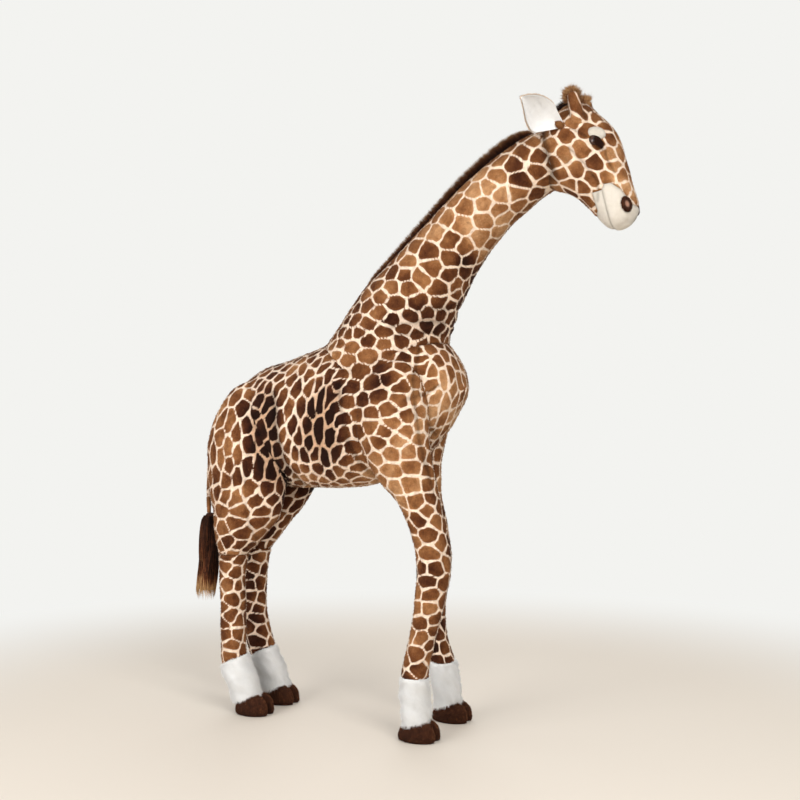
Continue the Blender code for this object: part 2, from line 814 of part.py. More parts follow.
def build_nostril(side_name, side, snout_skin, holder, mats):
    surface, normal = head_surface(side, nostril_ahead, nostril_up)
    frame = turn_to(normal)
    tilt = Matrix.Rotation(math.radians(25), 3, "Y")
    stretch = (nostril_width / nostril_length, 1.0, nostril_proud * 2 / nostril_length)
    radius = nostril_length / 2
    spin = frame @ tilt
    mat = mats["dark_pile"]
    patch = ball("nostril_" + side_name, surface, radius, small_sides, holder, mat, stretch, spin)
    cut(patch, snout_skin)
    return patch


def build_ossicone(side_name, side, head_skin, holder, mats):
    """A short horn out of the crown, with a tuft cap on its end."""
    foot = Vector((pivot_ahead + ossicone_ahead, side * ossicone_spread / 2, pivot_height + ossicone_up))
    way = Vector((-0.18, side * 0.08, 1.0)).normalized()
    start = foot - way * ossicone_radius
    end = foot + way * ossicone_length
    path = [start.lerp(end, t) for t in (0.0, 0.35, 0.7, 1.0)]
    radii = [ossicone_radius * k for k in (1.15, 1.0, 0.86, 0.78)]
    horn = tube("ossicone_" + side_name, path, radii, small_sides, holder, mats["patch"])
    cut(horn, head_skin)
    cap_start = end + way * seam_gap
    cap_path = [cap_start + way * tuft_cap_length * t for t in (0.0, 0.2, 0.55, 0.85, 1.0)]
    cap_radii = [tuft_cap_radius * k for k in (0.85, 1.0, 0.95, 0.6, 0.2)]
    tube("ossicone_tuft_" + side_name, cap_path, cap_radii, small_sides, holder, mats["dark_pile"])
    return horn


def ear_frame(side):
    """The ear's length, its width and the way its hollow faces."""
    length_way = Vector((-0.35, side * 0.84, 0.29)).normalized()
    facing = Vector((0.66, side * 0.54, -0.52))
    facing = (facing - length_way * facing.dot(length_way)).normalized()
    width_way = facing.cross(length_way)
    if width_way.z < 0:
        width_way = -width_way
    return length_way, width_way, facing


def ear_sheet(root, side, front, thickness, share):
    """A cupped leaf as a closed loft: its front face lies at a depth, its back behind it."""
    length_way, width_way, facing = ear_frame(side)
    rows = smooth_rows(ear_shares, ear_rings)
    across = np.linspace(-1.0, 1.0, ear_columns)
    rings = []
    for along, low, high, cup in rows:
        middle = (low + high) / 2 * ear_width * share
        half = (high - low) / 2 * ear_width * share
        face, back = [], []
        for t in across:
            edge = 1.0 - t * t
            sink = ear_cup * cup * edge
            base = root + length_way * along * ear_length + width_way * (middle + half * t)
            wall = thickness * (0.35 + 0.65 * edge)
            face.append(base + facing * (front - sink))
            back.append(base + facing * (front - sink - wall))
        rings.append([tuple(p) for p in face + back[::-1]])
    return loft(rings, leaf=True)


def build_ear(side_name, side, head, head_skin, holder, mats):
    root = ear_root(side)
    verts, faces = ear_sheet(root, side, 0.0, ear_thickness, 1.0)
    outer = add_object("ear_" + side_name, verts, faces, holder, mats["patch"])
    knob = ball("ear_knob_" + side_name, root, ear_knob_radius, ball_sides, holder)
    cut(outer, hidden(knob), "UNION")
    socket = ball("ear_socket_" + side_name, root, ear_knob_radius + knob_gap, ball_sides, holder)
    cut(head, hidden(socket))
    verts, faces = ear_sheet(root, side, ear_lining_thickness + seam_gap, ear_lining_thickness, 0.86)
    lining = add_object("ear_lining_" + side_name, verts, faces, holder, mats["white"])
    knob_space = ball("ear_knob_space_" + side_name, root, ear_knob_radius + seam_gap, ball_sides, holder)
    cut(lining, hidden(knob_space))
    return outer


def ear_root(side):
    return Vector((pivot_ahead + ear_root_ahead, side * ear_root_aside, pivot_height + ear_root_up))


def prism(name, corners, grow, holder):
    """A cutter whose side outline is a polygon of the head, swollen on every side by a gap."""
    points = np.array(corners) * head_length + (pivot_ahead, pivot_height)
    ways = np.roll(points, -1, axis=0) - points
    ways /= np.linalg.norm(ways, axis=1)[:, None]
    outward = np.c_[-ways[:, 1], ways[:, 0]]
    before = np.roll(outward, 1, axis=0)
    points = points + grow * (outward + before) / (1 + (outward * before).sum(1))[:, None]
    count = len(points)
    verts = [(x, y, z) for y in (-head_width, head_width) for x, z in points]
    faces = [tuple(range(count)), tuple(range(count, 2 * count))]
    faces += [(i, (i + 1) % count, (i + 1) % count + count, i + count) for i in range(count)]
    return hidden(add_object(name, verts, faces, holder, smooth=False))


def split_snout(verts, faces, holder, mats, head):
    """The cream upper lip and lower jaw, cut out of the head's own skin along their seams."""
    muzzle = add_object("muzzle", verts, faces, holder, mats["cream"])
    cut(muzzle, prism("lip_side", lip_shares, 0.0, holder), "INTERSECT")
    cut(muzzle, prism("lip_from_jaw", jaw_shares, seam_gap, holder))
    jaw = add_object("lower_jaw", verts, faces, holder, mats["cream"])
    cut(jaw, prism("jaw_side", jaw_shares, 0.0, holder), "INTERSECT")
    cut(head, prism("head_from_lip", lip_shares, seam_gap, holder))
    cut(head, prism("head_from_jaw", jaw_shares, seam_gap, holder))
    return muzzle, jaw


def build():
    clear_scene()
    mats = {
        "patch": material("patched_plush", patch_brown, 0.9),
        "white": material("white_plush", sock_white, 0.95),
        "cream": material("cream_plush", muzzle_cream, 0.95),
        "dark_pile": material("dark_pile", hoof_brown, 0.95),
        "eye": material("eye_plastic", eye_dark, 0.12),
        "steel": material("frame_steel", steel_grey, 0.4, 1.0),
        "washer": material("washer_plastic", washer_white, 0.5),
    }
    root = axis_point("giraffe", (0.0, 0.0, 0.0), None)
    root.location = (-origin_ahead, 0.0, 0.0)
    pivot = (pivot_ahead, 0.0, pivot_height)
    nod_axis = axis_point("nod_axis", pivot, root)
    turn_axis = axis_point("turn_axis", pivot, nod_axis)
    tail_start = tail_root()
    wag_axis = axis_point("wag_axis", tail_start, root)
    lift_axis = axis_point("lift_axis", tail_start, wag_axis)
    knot = (tail_start[0] - tail_cord_lean, 0.0, tail_start[2] - tail_cord_length)
    swing_axis = axis_point("tuft_axis", knot, lift_axis)

    verts, faces = loft(outline_rings(torso_stations(), torso_sides))
    torso = add_object("torso", verts, faces, root, mats["patch"])
    torso_space = grown_copy(torso, seam_gap)
    verts, faces = loft(outline_rings(neck_stations(neck_rings), neck_sides))
    neck = add_object("neck", verts, faces, root, mats["patch"])
    neck_space = grown_copy(neck, seam_gap)
    cut(neck, torso_space)
    rim_reach = head_length
    rim_middle = (pivot_ahead - neck_rim_behind + rim_reach / 2, 0.0, pivot_height)
    cut(neck, block("neck_rim", rim_middle, (rim_reach, rim_reach, rim_reach), root))
    socket_radius = skull_ball_radius + skull_gap
    cut(neck, hidden(ball("neck_socket", pivot, socket_radius, skull_sides, root)))
    mane = build_mane(root, mats["dark_pile"])
    cut(mane, neck_space)
    cut(mane, torso_space)

    spine = backbone_course()
    tube("backbone_rod", spine, rod_radius, rod_sides, root, mats["steel"])
    spine_channel = channel("backbone", spine, root)
    cut(torso, spine_channel)
    cut(neck, spine_channel)
    build_legs(root, torso, neck, torso_space, neck_space, spine, mats)
    build_head(turn_axis, nod_axis, mats)
    build_tail(root, wag_axis, lift_axis, swing_axis, torso, mats)


def build_legs(root, torso, neck, torso_space, neck_space, spine, mats):
    plans = (
        ("fore", "right", foreleg_right_shares, foreleg_length, wheelbase / 2, fore_track, -1),
        ("fore", "left", foreleg_left_shares, foreleg_length, wheelbase / 2, fore_track, 1),
        ("hind", "right", hindleg_right_shares, hindleg_length, -wheelbase / 2, hind_track, -1),
        ("hind", "left", hindleg_left_shares, hindleg_length, -wheelbase / 2, hind_track, 1),
    )
    for pair, side_name, shares, length, foot, track, side in plans:
        leg = Leg(shares, length, foot, track, side)
        fore = pair == "fore"
        sock_top = fore_sock_top if fore else hind_sock_top
        sock_slope = fore_sock_slope if fore else hind_sock_slope
        hip_x = shoulder_ahead if fore else -spine_behind
        hip = (hip_x, spine_height_at(spine, hip_x))
        course = rod_course(leg, hip)
        tube(pair + "_rod_" + side_name, course, rod_radius, rod_sides, root, mats["steel"])
        hollow = channel(pair + "_rod_" + side_name, course, root)
        tag = pair + "_" + side_name
        hoof = build_hoof("hoof_" + tag, leg, root, mats["dark_pile"])
        sock_low = hoof_height + seam_gap
        sock_ends = (sock_low, sock_top, hoof_slope, sock_slope)
        sock = build_sleeve("sock_" + tag, leg, sock_ends, sock_rings, root, mats["white"], sock_pile)
        limb_low = sock_top + seam_gap
        if fore:
            top = leg.heights[-1]
            limb_ends = (limb_low, top, sock_slope, 0.0)
            limb = build_sleeve("foreleg_" + side_name, leg, limb_ends, foreleg_rings, root, mats["patch"])
            cut(limb, torso_space)
            cut(limb, neck_space)
            cut(neck, hollow)
            pieces = [limb]
        else:
            shank_ends = (limb_low, hock_height, sock_slope, 0.0)
            shank = build_sleeve("hind_shank_" + side_name, leg, shank_ends, shank_rings, root, mats["patch"])
            thigh_low = hock_height + seam_gap
            top = leg.heights[-1]
            thigh_ends = (thigh_low, top, 0.0, 0.0)
            thigh = build_sleeve("hind_thigh_" + side_name, leg, thigh_ends, thigh_rings, root, mats["patch"])
            cut(thigh, torso_space)
            pieces = [shank, thigh]
        cut(torso, hollow)
        for piece in [hoof, sock] + pieces:
            cut(piece, hollow)


def build_head(turn_axis, nod_axis, mats):
    verts, faces = loft(outline_rings(head_stations(head_rings), neck_sides))
    head = add_object("head", verts, faces, turn_axis, mats["patch"])
    head_skin = grown_copy(head, seam_gap)
    pivot = Vector((pivot_ahead, 0.0, pivot_height))
    reach = head_length * 2
    back_middle = (pivot_ahead + head_start_ahead - reach / 2, 0.0, pivot_height)
    cut(head, block("head_back", back_middle, (reach, reach, reach), turn_axis))
    skull = hidden(ball("skull_ball", pivot, skull_ball_radius, skull_sides, turn_axis))
    cut(head, skull, "UNION")
    split_snout(verts, faces, turn_axis, mats, head)
    wire_start = pivot - Vector((skull_ball_radius - wire_end_gap, 0.0, 0.0))
    wire_end = pivot + Vector((wire_ahead, 0.0, 0.0))
    wire_sides = rod_sides * 2
    tube("head_wire", [wire_start, pivot, wire_end], rod_radius, wire_sides, nod_axis, mats["steel"])
    hole_start = wire_start - Vector((cut_overrun, 0.0, 0.0))
    hole_end = wire_end + Vector((rod_clearance, 0.0, 0.0))
    hole_radius = rod_radius + rod_clearance
    hole = tube("wire_channel", [hole_start, pivot, hole_end], hole_radius, wire_sides, turn_axis)
    cut(head, hidden(hole))
    for side_name, side in (("right", -1), ("left", 1)):
        build_eye(side_name, side, head, head_skin, turn_axis, mats)
        build_nostril(side_name, side, head_skin, turn_axis, mats)
        build_ossicone(side_name, side, head_skin, turn_axis, mats)
        flop_axis = axis_point("ear_axis_" + side_name, ear_root(side), turn_axis)
        build_ear(side_name, side, head, head_skin, flop_axis, mats)


build()
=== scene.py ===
# %% [markdown]
# # A plush giraffe, about 1.33 m tall
# The toy is a sewn skin of patched plush, stuffed hard over a steel wire frame. It stands on four legs
# with white socks and brown hooves, and it has a jointed head, floppy ears and a hanging tail. This
# lesson dresses its plain solids: every stuffed form gets a fine skin, a pattern of patches and a pile.
#
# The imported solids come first. They are never moved, and each new piece is set by them.

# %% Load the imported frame
import json
import math

import bpy
import numpy as np
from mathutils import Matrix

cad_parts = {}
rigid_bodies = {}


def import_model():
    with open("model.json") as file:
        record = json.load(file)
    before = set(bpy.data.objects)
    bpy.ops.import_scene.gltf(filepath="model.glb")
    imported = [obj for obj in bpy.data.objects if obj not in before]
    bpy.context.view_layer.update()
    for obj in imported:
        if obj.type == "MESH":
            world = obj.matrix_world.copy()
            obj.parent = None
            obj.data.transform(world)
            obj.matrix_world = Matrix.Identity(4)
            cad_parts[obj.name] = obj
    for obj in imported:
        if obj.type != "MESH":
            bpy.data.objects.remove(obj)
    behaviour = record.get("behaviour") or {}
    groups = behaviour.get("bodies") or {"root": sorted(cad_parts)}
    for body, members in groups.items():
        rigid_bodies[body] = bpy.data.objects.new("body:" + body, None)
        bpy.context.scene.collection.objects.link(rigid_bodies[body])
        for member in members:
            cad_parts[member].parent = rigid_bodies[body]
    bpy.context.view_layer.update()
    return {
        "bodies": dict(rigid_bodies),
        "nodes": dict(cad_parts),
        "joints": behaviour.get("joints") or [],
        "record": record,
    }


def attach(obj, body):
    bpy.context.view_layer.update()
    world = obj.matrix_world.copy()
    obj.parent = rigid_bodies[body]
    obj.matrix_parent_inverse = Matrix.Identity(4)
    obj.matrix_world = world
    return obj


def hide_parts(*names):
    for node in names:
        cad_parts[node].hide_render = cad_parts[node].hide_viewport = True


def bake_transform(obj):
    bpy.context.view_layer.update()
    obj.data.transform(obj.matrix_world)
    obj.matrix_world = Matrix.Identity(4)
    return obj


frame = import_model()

# %% [markdown]
# ## Camera, light and floor
# The toy is seen from its right side, a little from the front, from knee to head height, with a lens
# that is slightly long. The camera stands level. Light is soft and comes from the camera's right, as
# from a large window, and the floor and the room behind it are pale.

# %% Camera
camera_place = (1.1462, -2.346, 0.707)
camera_turn = math.radians(26.0)
lens_mm = 54.0
sensor_mm = 36.0

camera_data = bpy.data.cameras.new("camera")
camera_data.lens = lens_mm
camera_data.sensor_width = sensor_mm
camera = bpy.data.objects.new("camera", camera_data)
camera.location = camera_place
camera.rotation_euler = (math.pi / 2, 0.0, camera_turn)
bpy.context.scene.collection.objects.link(camera)
bpy.context.scene.camera = camera
bpy.context.scene.view_settings.view_transform = "Standard"
print("camera at", camera_place)

# %% Helpers for materials
def srgb(red, green, blue):
    """A colour given as 8-bit screen values, as the linear values that a shader needs."""
    share = np.array((red, green, blue)) / 255.0
    linear = np.where(share <= 0.04045, share / 12.92, ((share + 0.055) / 1.055) ** 2.4)
    return (*[float(v) for v in linear], 1.0)


def new_material(name, roughness, sheen=0.0, shine=0.5):
    """A Principled material with its constant values set on the shader's own sockets."""
    mat = bpy.data.materials.new(name)
    mat.use_nodes = True
    shader = mat.node_tree.nodes["Principled BSDF"]
    shader.inputs["Roughness"].default_value = roughness
    shader.inputs["Sheen Weight"].default_value = sheen
    shader.inputs["Specular IOR Level"].default_value = shine
    shader.inputs["Sheen Roughness"].default_value = 0.45
    return mat, mat.node_tree, shader


def add_node(tree, kind, place=(0, 0), **settings):
    """A node of a kind, with its settings."""
    node = tree.nodes.new(kind)
    node.location = place
    for key, value in settings.items():
        setattr(node, key, value)
    return node


def attribute(tree, name):
    """The value that a piece's points carry under a name."""
    return add_node(tree, "ShaderNodeAttribute", (-1200, 0), attribute_name=name).outputs["Fac"]


def math_node(tree, operation, first, second=None, third=None):
    """One sum on values: a number is set on the socket, and an output is linked to it."""
    node = add_node(tree, "ShaderNodeMath", (-600, 0), operation=operation)
    for socket, value in zip(node.inputs, (first, second, third)):
        if value is None:
            continue
        if isinstance(value, (int, float)):
            socket.default_value = value
        else:
            tree.links.new(value, socket)
    return node.outputs[0]


def mix_colours(tree, factor, first, second, blend="MIX"):
    """A mix of two colours by a value."""
    node = add_node(tree, "ShaderNodeMix", (-300, 0), data_type="RGBA", blend_type=blend)
    for socket, value in zip((node.inputs[0], node.inputs[6], node.inputs[7]), (factor, first, second)):
        if isinstance(value, (int, float)):
            socket.default_value = value
        elif isinstance(value, tuple):
            socket.default_value = value
        else:
            tree.links.new(value, socket)
    return node.outputs[2]


def ease(tree, value, low, high):
    """0 below low, 1 above high, with a soft rise between them."""
    node = add_node(tree, "ShaderNodeMapRange", (-500, 0), interpolation_type="SMOOTHSTEP")
    tree.links.new(value, node.inputs["Value"])
    node.inputs["From Min"].default_value = low
    node.inputs["From Max"].default_value = high
    return node.outputs["Result"]


def noise(tree, scale, detail=3.0):
    """Noise over Object coordinates."""
    place = add_node(tree, "ShaderNodeTexCoord", (-1400, 0)).outputs["Object"]
    node = add_node(tree, "ShaderNodeTexNoise", (-1000, 0))
    node.inputs["Scale"].default_value = scale
    node.inputs["Detail"].default_value = detail
    tree.links.new(place, node.inputs["Vector"])
    return node.outputs["Fac"]


# %% Floor and background
floor_colour = srgb(222, 213, 201)
room_colour = srgb(243, 243, 240)
floor_half = 9.0
floor_fade_start = 0.80
floor_fade_end = 1.9


def make_floor():
    """A square floor that fades into the room's own pale colour away from the toy."""
    mesh = bpy.data.meshes.new("floor")
    corners = [(x * floor_half, y * floor_half, 0.0) for x, y in ((-1, -1), (1, -1), (1, 1), (-1, 1))]
    mesh.from_pydata(corners, [], [(0, 1, 2, 3)])
    floor = bpy.data.objects.new("floor", mesh)
    bpy.context.scene.collection.objects.link(floor)
    mat, tree, shader = new_material("pale_floor", 0.7)
    shader.inputs["Base Color"].default_value = floor_colour
    place = add_node(tree, "ShaderNodeTexCoord").outputs["Object"]
    length = add_node(tree, "ShaderNodeVectorMath", operation="LENGTH")
    tree.links.new(place, length.inputs[0])
    fade = ease(tree, length.outputs["Value"], floor_fade_start, floor_fade_end)
    seen = add_node(tree, "ShaderNodeLightPath").outputs["Is Camera Ray"]
    glow = add_node(tree, "ShaderNodeEmission")
    glow.inputs["Color"].default_value = room_colour
    both = add_node(tree, "ShaderNodeMixShader", (200, 0))
    tree.links.new(math_node(tree, "MULTIPLY", fade, seen), both.inputs[0])
    tree.links.new(shader.outputs[0], both.inputs[1])
    tree.links.new(glow.outputs[0], both.inputs[2])
    tree.links.new(both.outputs[0], tree.nodes["Material Output"].inputs["Surface"])
    mesh.materials.append(mat)
    return floor


make_floor()

world = bpy.data.worlds.new("room")
bpy.context.scene.world = world
world.use_nodes = True
room = world.node_tree
backdrop = room.nodes["Background"]
ambient_strength = 0.58
backdrop.inputs["Color"].default_value = (1.0, 0.99, 0.97, 1.0)
backdrop.inputs["Strength"].default_value = ambient_strength
white = add_node(room, "ShaderNodeBackground")
white.inputs["Color"].default_value = room_colour
path = add_node(room, "ShaderNodeLightPath")
seen_straight = math_node(room, "MAXIMUM", path.outputs["Is Camera Ray"], path.outputs["Is Glossy Ray"])
choose = add_node(room, "ShaderNodeMixShader")
room.links.new(seen_straight, choose.inputs[0])
room.links.new(backdrop.outputs[0], choose.inputs[1])
room.links.new(white.outputs[0], choose.inputs[2])
room.links.new(choose.outputs[0], room.nodes["World Output"].inputs["Surface"])
print("floor and room made")

# %% Lamps
def add_lamp(name, place, aim, size, power, colour):
    """A square soft lamp that faces a point."""
    data = bpy.data.lights.new(name, "AREA")
    data.size = size
    data.energy = power
    data.color = colour
    lamp = bpy.data.objects.new(name, data)
    lamp.location = place
    way = np.array(aim) - np.array(place)
    turn = math.atan2(way[0], -way[1])
    tilt = math.atan2(math.hypot(way[0], way[1]), -way[2])
    lamp.rotation_euler = (tilt, 0.0, math.pi + turn)
    bpy.context.scene.collection.objects.link(lamp)
    return lamp


middle_of_toy = (0.0, 0.0, 0.75)
add_lamp("window", (2.4, -2.1, 2.3), middle_of_toy, 1.8, 78.0, (1.0, 0.98, 0.95))
add_lamp("fill", (-1.0, -3.2, 1.0), (0.0, 0.0, 0.5), 2.2, 84.0, (1.0, 0.99, 0.98))
add_lamp("back_fill", (-1.2, 2.8, 2.2), middle_of_toy, 2.2, 24.0, (1.0, 0.99, 0.98))
print("lamps made")

# %% [markdown]
# ## The stuffed forms
# A sewn form is a bag cut from flat cloth and filled until it is tight, so its cross-sections are close
# to ovals. Each form is kept as a table of stations along it: the low end and the high end of the oval
# seen from the side, and how wide it is. A smooth curve led through the stations gives as many ovals
# as a fine skin needs. A sculpted mesh could do the same, but the tables keep the toy's real sizes.

# %% Sizes of the toy
origin_ahead = 0.1268
wheelbase = 0.424
fore_track = 0.172
hind_track = 0.112

belly_height = 0.511
torso_depth = 0.370
torso_length = 0.630
torso_width = 0.244
rump_behind = 0.345

neck_base_height = 0.800
pivot_ahead = 0.474
pivot_height = 1.199
neck_width = 0.145
head_length = 0.200
head_width = 0.124
skull_ball_radius = 0.0575

foreleg_length = 0.800
hindleg_length = 0.750
leg_girth = 0.056
hock_height = 0.358
fore_sock_top = 0.128
hind_sock_top = 0.116
hind_sock_slope = 0.50
sock_pile = 0.003

hoof_length = 0.091
hoof_width = 0.068
hoof_height = 0.034
hoof_slope = 0.26
hoof_forward = 0.004
cleft_width = 0.006
cleft_depth = 0.034

pivot_x = pivot_ahead - origin_ahead
sides = {"right": -1, "left": 1}

# %% Stations of the torso, neck and head
# Low x, low z, high x, high z and half width, as shares of the form's own sizes.

torso_shares = (
    (0.006, 0.205, 0.006, 0.330, 0.16),
    (0.022, 0.132, 0.030, 0.415, 0.45),
    (0.063, 0.065, 0.085, 0.545, 0.70),
    (0.135, 0.030, 0.155, 0.650, 0.86),
    (0.246, 0.008, 0.246, 0.735, 0.96),
    (0.373, 0.000, 0.373, 0.795, 0.99),
    (0.500, 0.003, 0.492, 0.868, 1.00),
    (0.627, 0.024, 0.595, 0.930, 1.00),
    (0.738, 0.078, 0.683, 0.984, 0.98),
    (0.825, 0.173, 0.754, 0.997, 0.90),
    (0.889, 0.281, 0.833, 0.957, 0.80),
    (0.937, 0.389, 0.915, 0.865, 0.66),
    (0.973, 0.497, 0.972, 0.735, 0.43),
    (0.990, 0.565, 0.990, 0.632, 0.15),
)
neck_shares = (
    (0.329, -0.256, -0.070, 0.080, 1.55),
    (0.482, 0.041, 0.098, 0.352, 1.45),
    (0.555, 0.255, 0.235, 0.502, 1.24),
    (0.650, 0.469, 0.413, 0.695, 1.10),
    (0.779, 0.653, 0.602, 0.896, 1.00),
    (0.913, 0.781, 0.776, 1.046, 0.92),
    (1.009, 0.851, 0.904, 1.124, 0.87),
    (1.060, 0.866, 0.992, 1.150, 0.86),
)
head_shares = (
    (0.011, -0.305, 0.000, 0.325, 0.95),
    (0.074, -0.322, 0.158, 0.505, 1.00),
    (0.150, -0.340, 0.370, 0.530, 1.00),
    (0.215, -0.370, 0.520, 0.388, 0.97),
    (0.287, -0.420, 0.678, 0.204, 0.89),
    (0.387, -0.515, 0.770, -0.052, 0.76),
    (0.480, -0.620, 0.845, -0.328, 0.66),
    (0.575, -0.715, 0.900, -0.517, 0.60),
    (0.645, -0.754, 0.879, -0.626, 0.47),
    (0.704, -0.769, 0.831, -0.710, 0.23),
)

# %% Stations of the legs
# Height as a share of the leg's length and the place aside as a share of half the track. Then, for the
# right leg and again for the left one: forward place as a share of the leg's length, and half depth and
# half width as shares of the leg's girth.

foreleg_shares = (
    (0.056, 1.00, -0.005, 0.53, 0.52, -0.008, 0.53, 0.52),
    (0.156, 0.99, -0.009, 0.50, 0.50, -0.025, 0.50, 0.50),
    (0.219, 0.97, 0.001, 0.49, 0.49, -0.045, 0.49, 0.49),
    (0.269, 0.94, 0.012, 0.49, 0.49, -0.052, 0.49, 0.49),
    (0.338, 0.92, 0.027, 0.53, 0.52, -0.051, 0.53, 0.52),
    (0.388, 0.90, 0.033, 0.58, 0.55, -0.047, 0.57, 0.55),
    (0.456, 0.87, 0.040, 0.63, 0.59, -0.040, 0.63, 0.59),
    (0.538, 0.87, 0.025, 0.67, 0.62, -0.054, 0.63, 0.62),
    (0.613, 0.87, -0.002, 0.81, 0.71, -0.078, 0.74, 0.71),
    (0.663, 0.90, -0.030, 1.08, 0.80, -0.096, 0.92, 0.80),
    (0.725, 0.94, -0.056, 1.28, 0.89, -0.106, 1.10, 0.89),
    (0.800, 0.99, -0.075, 1.46, 0.93, -0.103, 1.28, 0.93),
    (0.875, 1.00, -0.077, 1.42, 0.89, -0.090, 1.34, 0.89),
    (0.950, 0.98, -0.069, 1.05, 0.68, -0.072, 1.05, 0.68),
    (0.992, 0.94, -0.062, 0.35, 0.25, -0.062, 0.35, 0.25),
)
hindleg_shares = (
    (0.045, 1.00, -0.020, 0.58, 0.56, -0.012, 0.58, 0.56),
    (0.100, 1.00, -0.043, 0.57, 0.55, -0.034, 0.57, 0.55),
    (0.155, 1.00, -0.067, 0.51, 0.51, -0.060, 0.51, 0.51),
    (0.240, 1.01, -0.071, 0.50, 0.50, -0.087, 0.50, 0.50),
    (0.333, 1.03, -0.071, 0.51, 0.51, -0.096, 0.51, 0.51),
    (0.420, 1.05, -0.072, 0.53, 0.53, -0.092, 0.53, 0.53),
    (0.478, 1.07, -0.066, 0.62, 0.60, -0.086, 0.60, 0.58),
    (0.510, 1.12, -0.052, 0.88, 0.71, -0.078, 0.80, 0.69),
    (0.545, 1.18, -0.036, 1.14, 0.80, -0.066, 1.02, 0.78),
    (0.600, 1.25, -0.012, 1.45, 0.91, -0.045, 1.34, 0.91),
    (0.667, 1.33, -0.006, 1.66, 1.00, -0.022, 1.65, 1.00),
    (0.747, 1.40, -0.005, 1.68, 1.06, -0.008, 1.70, 1.06),
    (0.827, 1.43, -0.010, 1.56, 1.05, -0.010, 1.56, 1.05),
    (0.907, 1.38, -0.006, 1.22, 0.90, -0.006, 1.22, 0.90),
    (0.965, 1.30, -0.004, 0.74, 0.58, -0.004, 0.74, 0.58),
    (0.992, 1.25, -0.004, 0.26, 0.20, -0.004, 0.26, 0.20),
)

# %% Curves through stations
course_rows = 400
sleeve_rows = 300


def smooth_rows(rows, count):
    """A Catmull-Rom curve through rows of numbers: between two rows it is the cubic whose slope at each
    row is half the step between that row's neighbours."""
    rows = np.asarray(rows, float)
    padded = np.vstack([2 * rows[0] - rows[1], rows, 2 * rows[-1] - rows[-2]])
    places = np.linspace(0.0, len(rows) - 1.0, count)
    first = np.minimum(places.astype(int), len(rows) - 2)
    t = (places - first)[:, None]
    a, b, c, d = (padded[first + k] for k in range(4))
    return 0.5 * (2 * b + (c - a) * t + (2 * a - 5 * b + 4 * c - d) * t**2 + (3 * b - a - 3 * c + d) * t**3)


def even_rows(rows, count):
    """The same rows read again at even distances along their own course."""
    step = np.linalg.norm(np.diff(rows, axis=0), axis=1)
    run = np.r_[0.0, np.cumsum(step)]
    wanted = np.linspace(0.0, run[-1], count)
    return np.stack([np.interp(wanted, run, column) for column in rows.T], axis=1)


def side_stations(shares, start, size, half_width):
    """Stations in metres from a table of shares: low x, low z, high x, high z, half width and y."""
    rows = smooth_rows(shares, course_rows)
    x_start, z_start = start
    x_size, z_size = size
    x = x_start + rows[:, (0, 2)] * x_size
    z = z_start + rows[:, (1, 3)] * z_size
    return np.c_[x[:, 0], z[:, 0], x[:, 1], z[:, 1], rows[:, 4] * half_width, np.zeros(len(rows))]


def leg_course(shares, length, foot_x, track, side):
    """A leg's height, forward place, half depth, half width and distance aside, from the floor up."""
    rows = smooth_rows(shares, course_rows)
    forward, depth, width = (rows[:, 2:5] if side < 0 else rows[:, 5:8]).T
    return np.c_[
        rows[:, 0] * length,
        foot_x + forward * length,
        depth * leg_girth,
        width * leg_girth,
        side * rows[:, 1] * track / 2,
    ]


def leg_stations(course, low, high, slope_low, slope_high, swell=0.0):
    """The leg's ovals between two heights, each tipped up towards the front by its slope."""
    heights = np.linspace(low, high, sleeve_rows)
    slopes = np.linspace(slope_low, slope_high, sleeve_rows)
    x, depth, width, y = (np.interp(heights, course[:, 0], course[:, k]) for k in (1, 2, 3, 4))
    depth = depth + swell
    tip = slopes * depth
    return np.c_[x - depth, heights - tip, x + depth, heights + tip, width + swell, y]


rump_start = (-rump_behind - origin_ahead, belly_height)
torso_stations = side_stations(torso_shares, rump_start, (torso_length, torso_depth), torso_width / 2)
neck_start = (-origin_ahead, neck_base_height)
neck_reach = (pivot_ahead, pivot_height - neck_base_height)
neck_stations = side_stations(neck_shares, neck_start, neck_reach, neck_width / 2)
head_start = (pivot_x, pivot_height)
head_stations = side_stations(head_shares, head_start, (head_length, head_length), head_width / 2)
leg_pairs = {
    "fore": (foreleg_shares, foreleg_length, wheelbase / 2 - origin_ahead, fore_track),
    "hind": (hindleg_shares, hindleg_length, -wheelbase / 2 - origin_ahead, hind_track),
}
leg_courses = {
    pair + "_" + side_name: leg_course(*sizes, side)
    for pair, sizes in leg_pairs.items()
    for side_name, side in sides.items()
}
print("torso from", torso_stations[0, :2].round(3), "to", torso_stations[-1, :2].round(3))

# %% Skins as grids
dome_angles = (30.0, 60.0, 90.0)


def ring_grid(stations, around):
    """A skin as a grid of points: row i is station i's oval, and column j is the angle 2 pi j / around.
    A point is the oval's middle plus half its chord times the cosine, and its half width times the sine."""
    turn = 2 * np.pi * np.arange(around) / around
    low_x, low_z, high_x, high_z, half_width, aside = stations.T[:, :, None]
    x = (low_x + high_x) / 2 + (high_x - low_x) / 2 * np.cos(turn)
    z = (low_z + high_z) / 2 + (high_z - low_z) / 2 * np.cos(turn)
    y = aside + half_width * np.sin(turn)
    return np.stack([x, y, z], axis=-1)


def domed(grid, bulge):
    """The grid with both its ends closed by rings that shrink to a point, as a dome of height bulge: at
    each angle up the dome a ring's size is its cosine, and its height the bulge times its sine."""
    shrink = np.cos(np.radians(dome_angles))[:, None, None]
    rise = np.sin(np.radians(dome_angles))[:, None, None]
    caps = []
    for end, before in ((grid[0], grid[1]), (grid[-1], grid[-2])):
        middle = end.mean(0)
        out = middle - before.mean(0)
        out = out / np.linalg.norm(out)
        caps.append(middle + (end - middle) * shrink + out * bulge * rise)
    return np.concatenate([caps[0][::-1], grid, caps[1]])


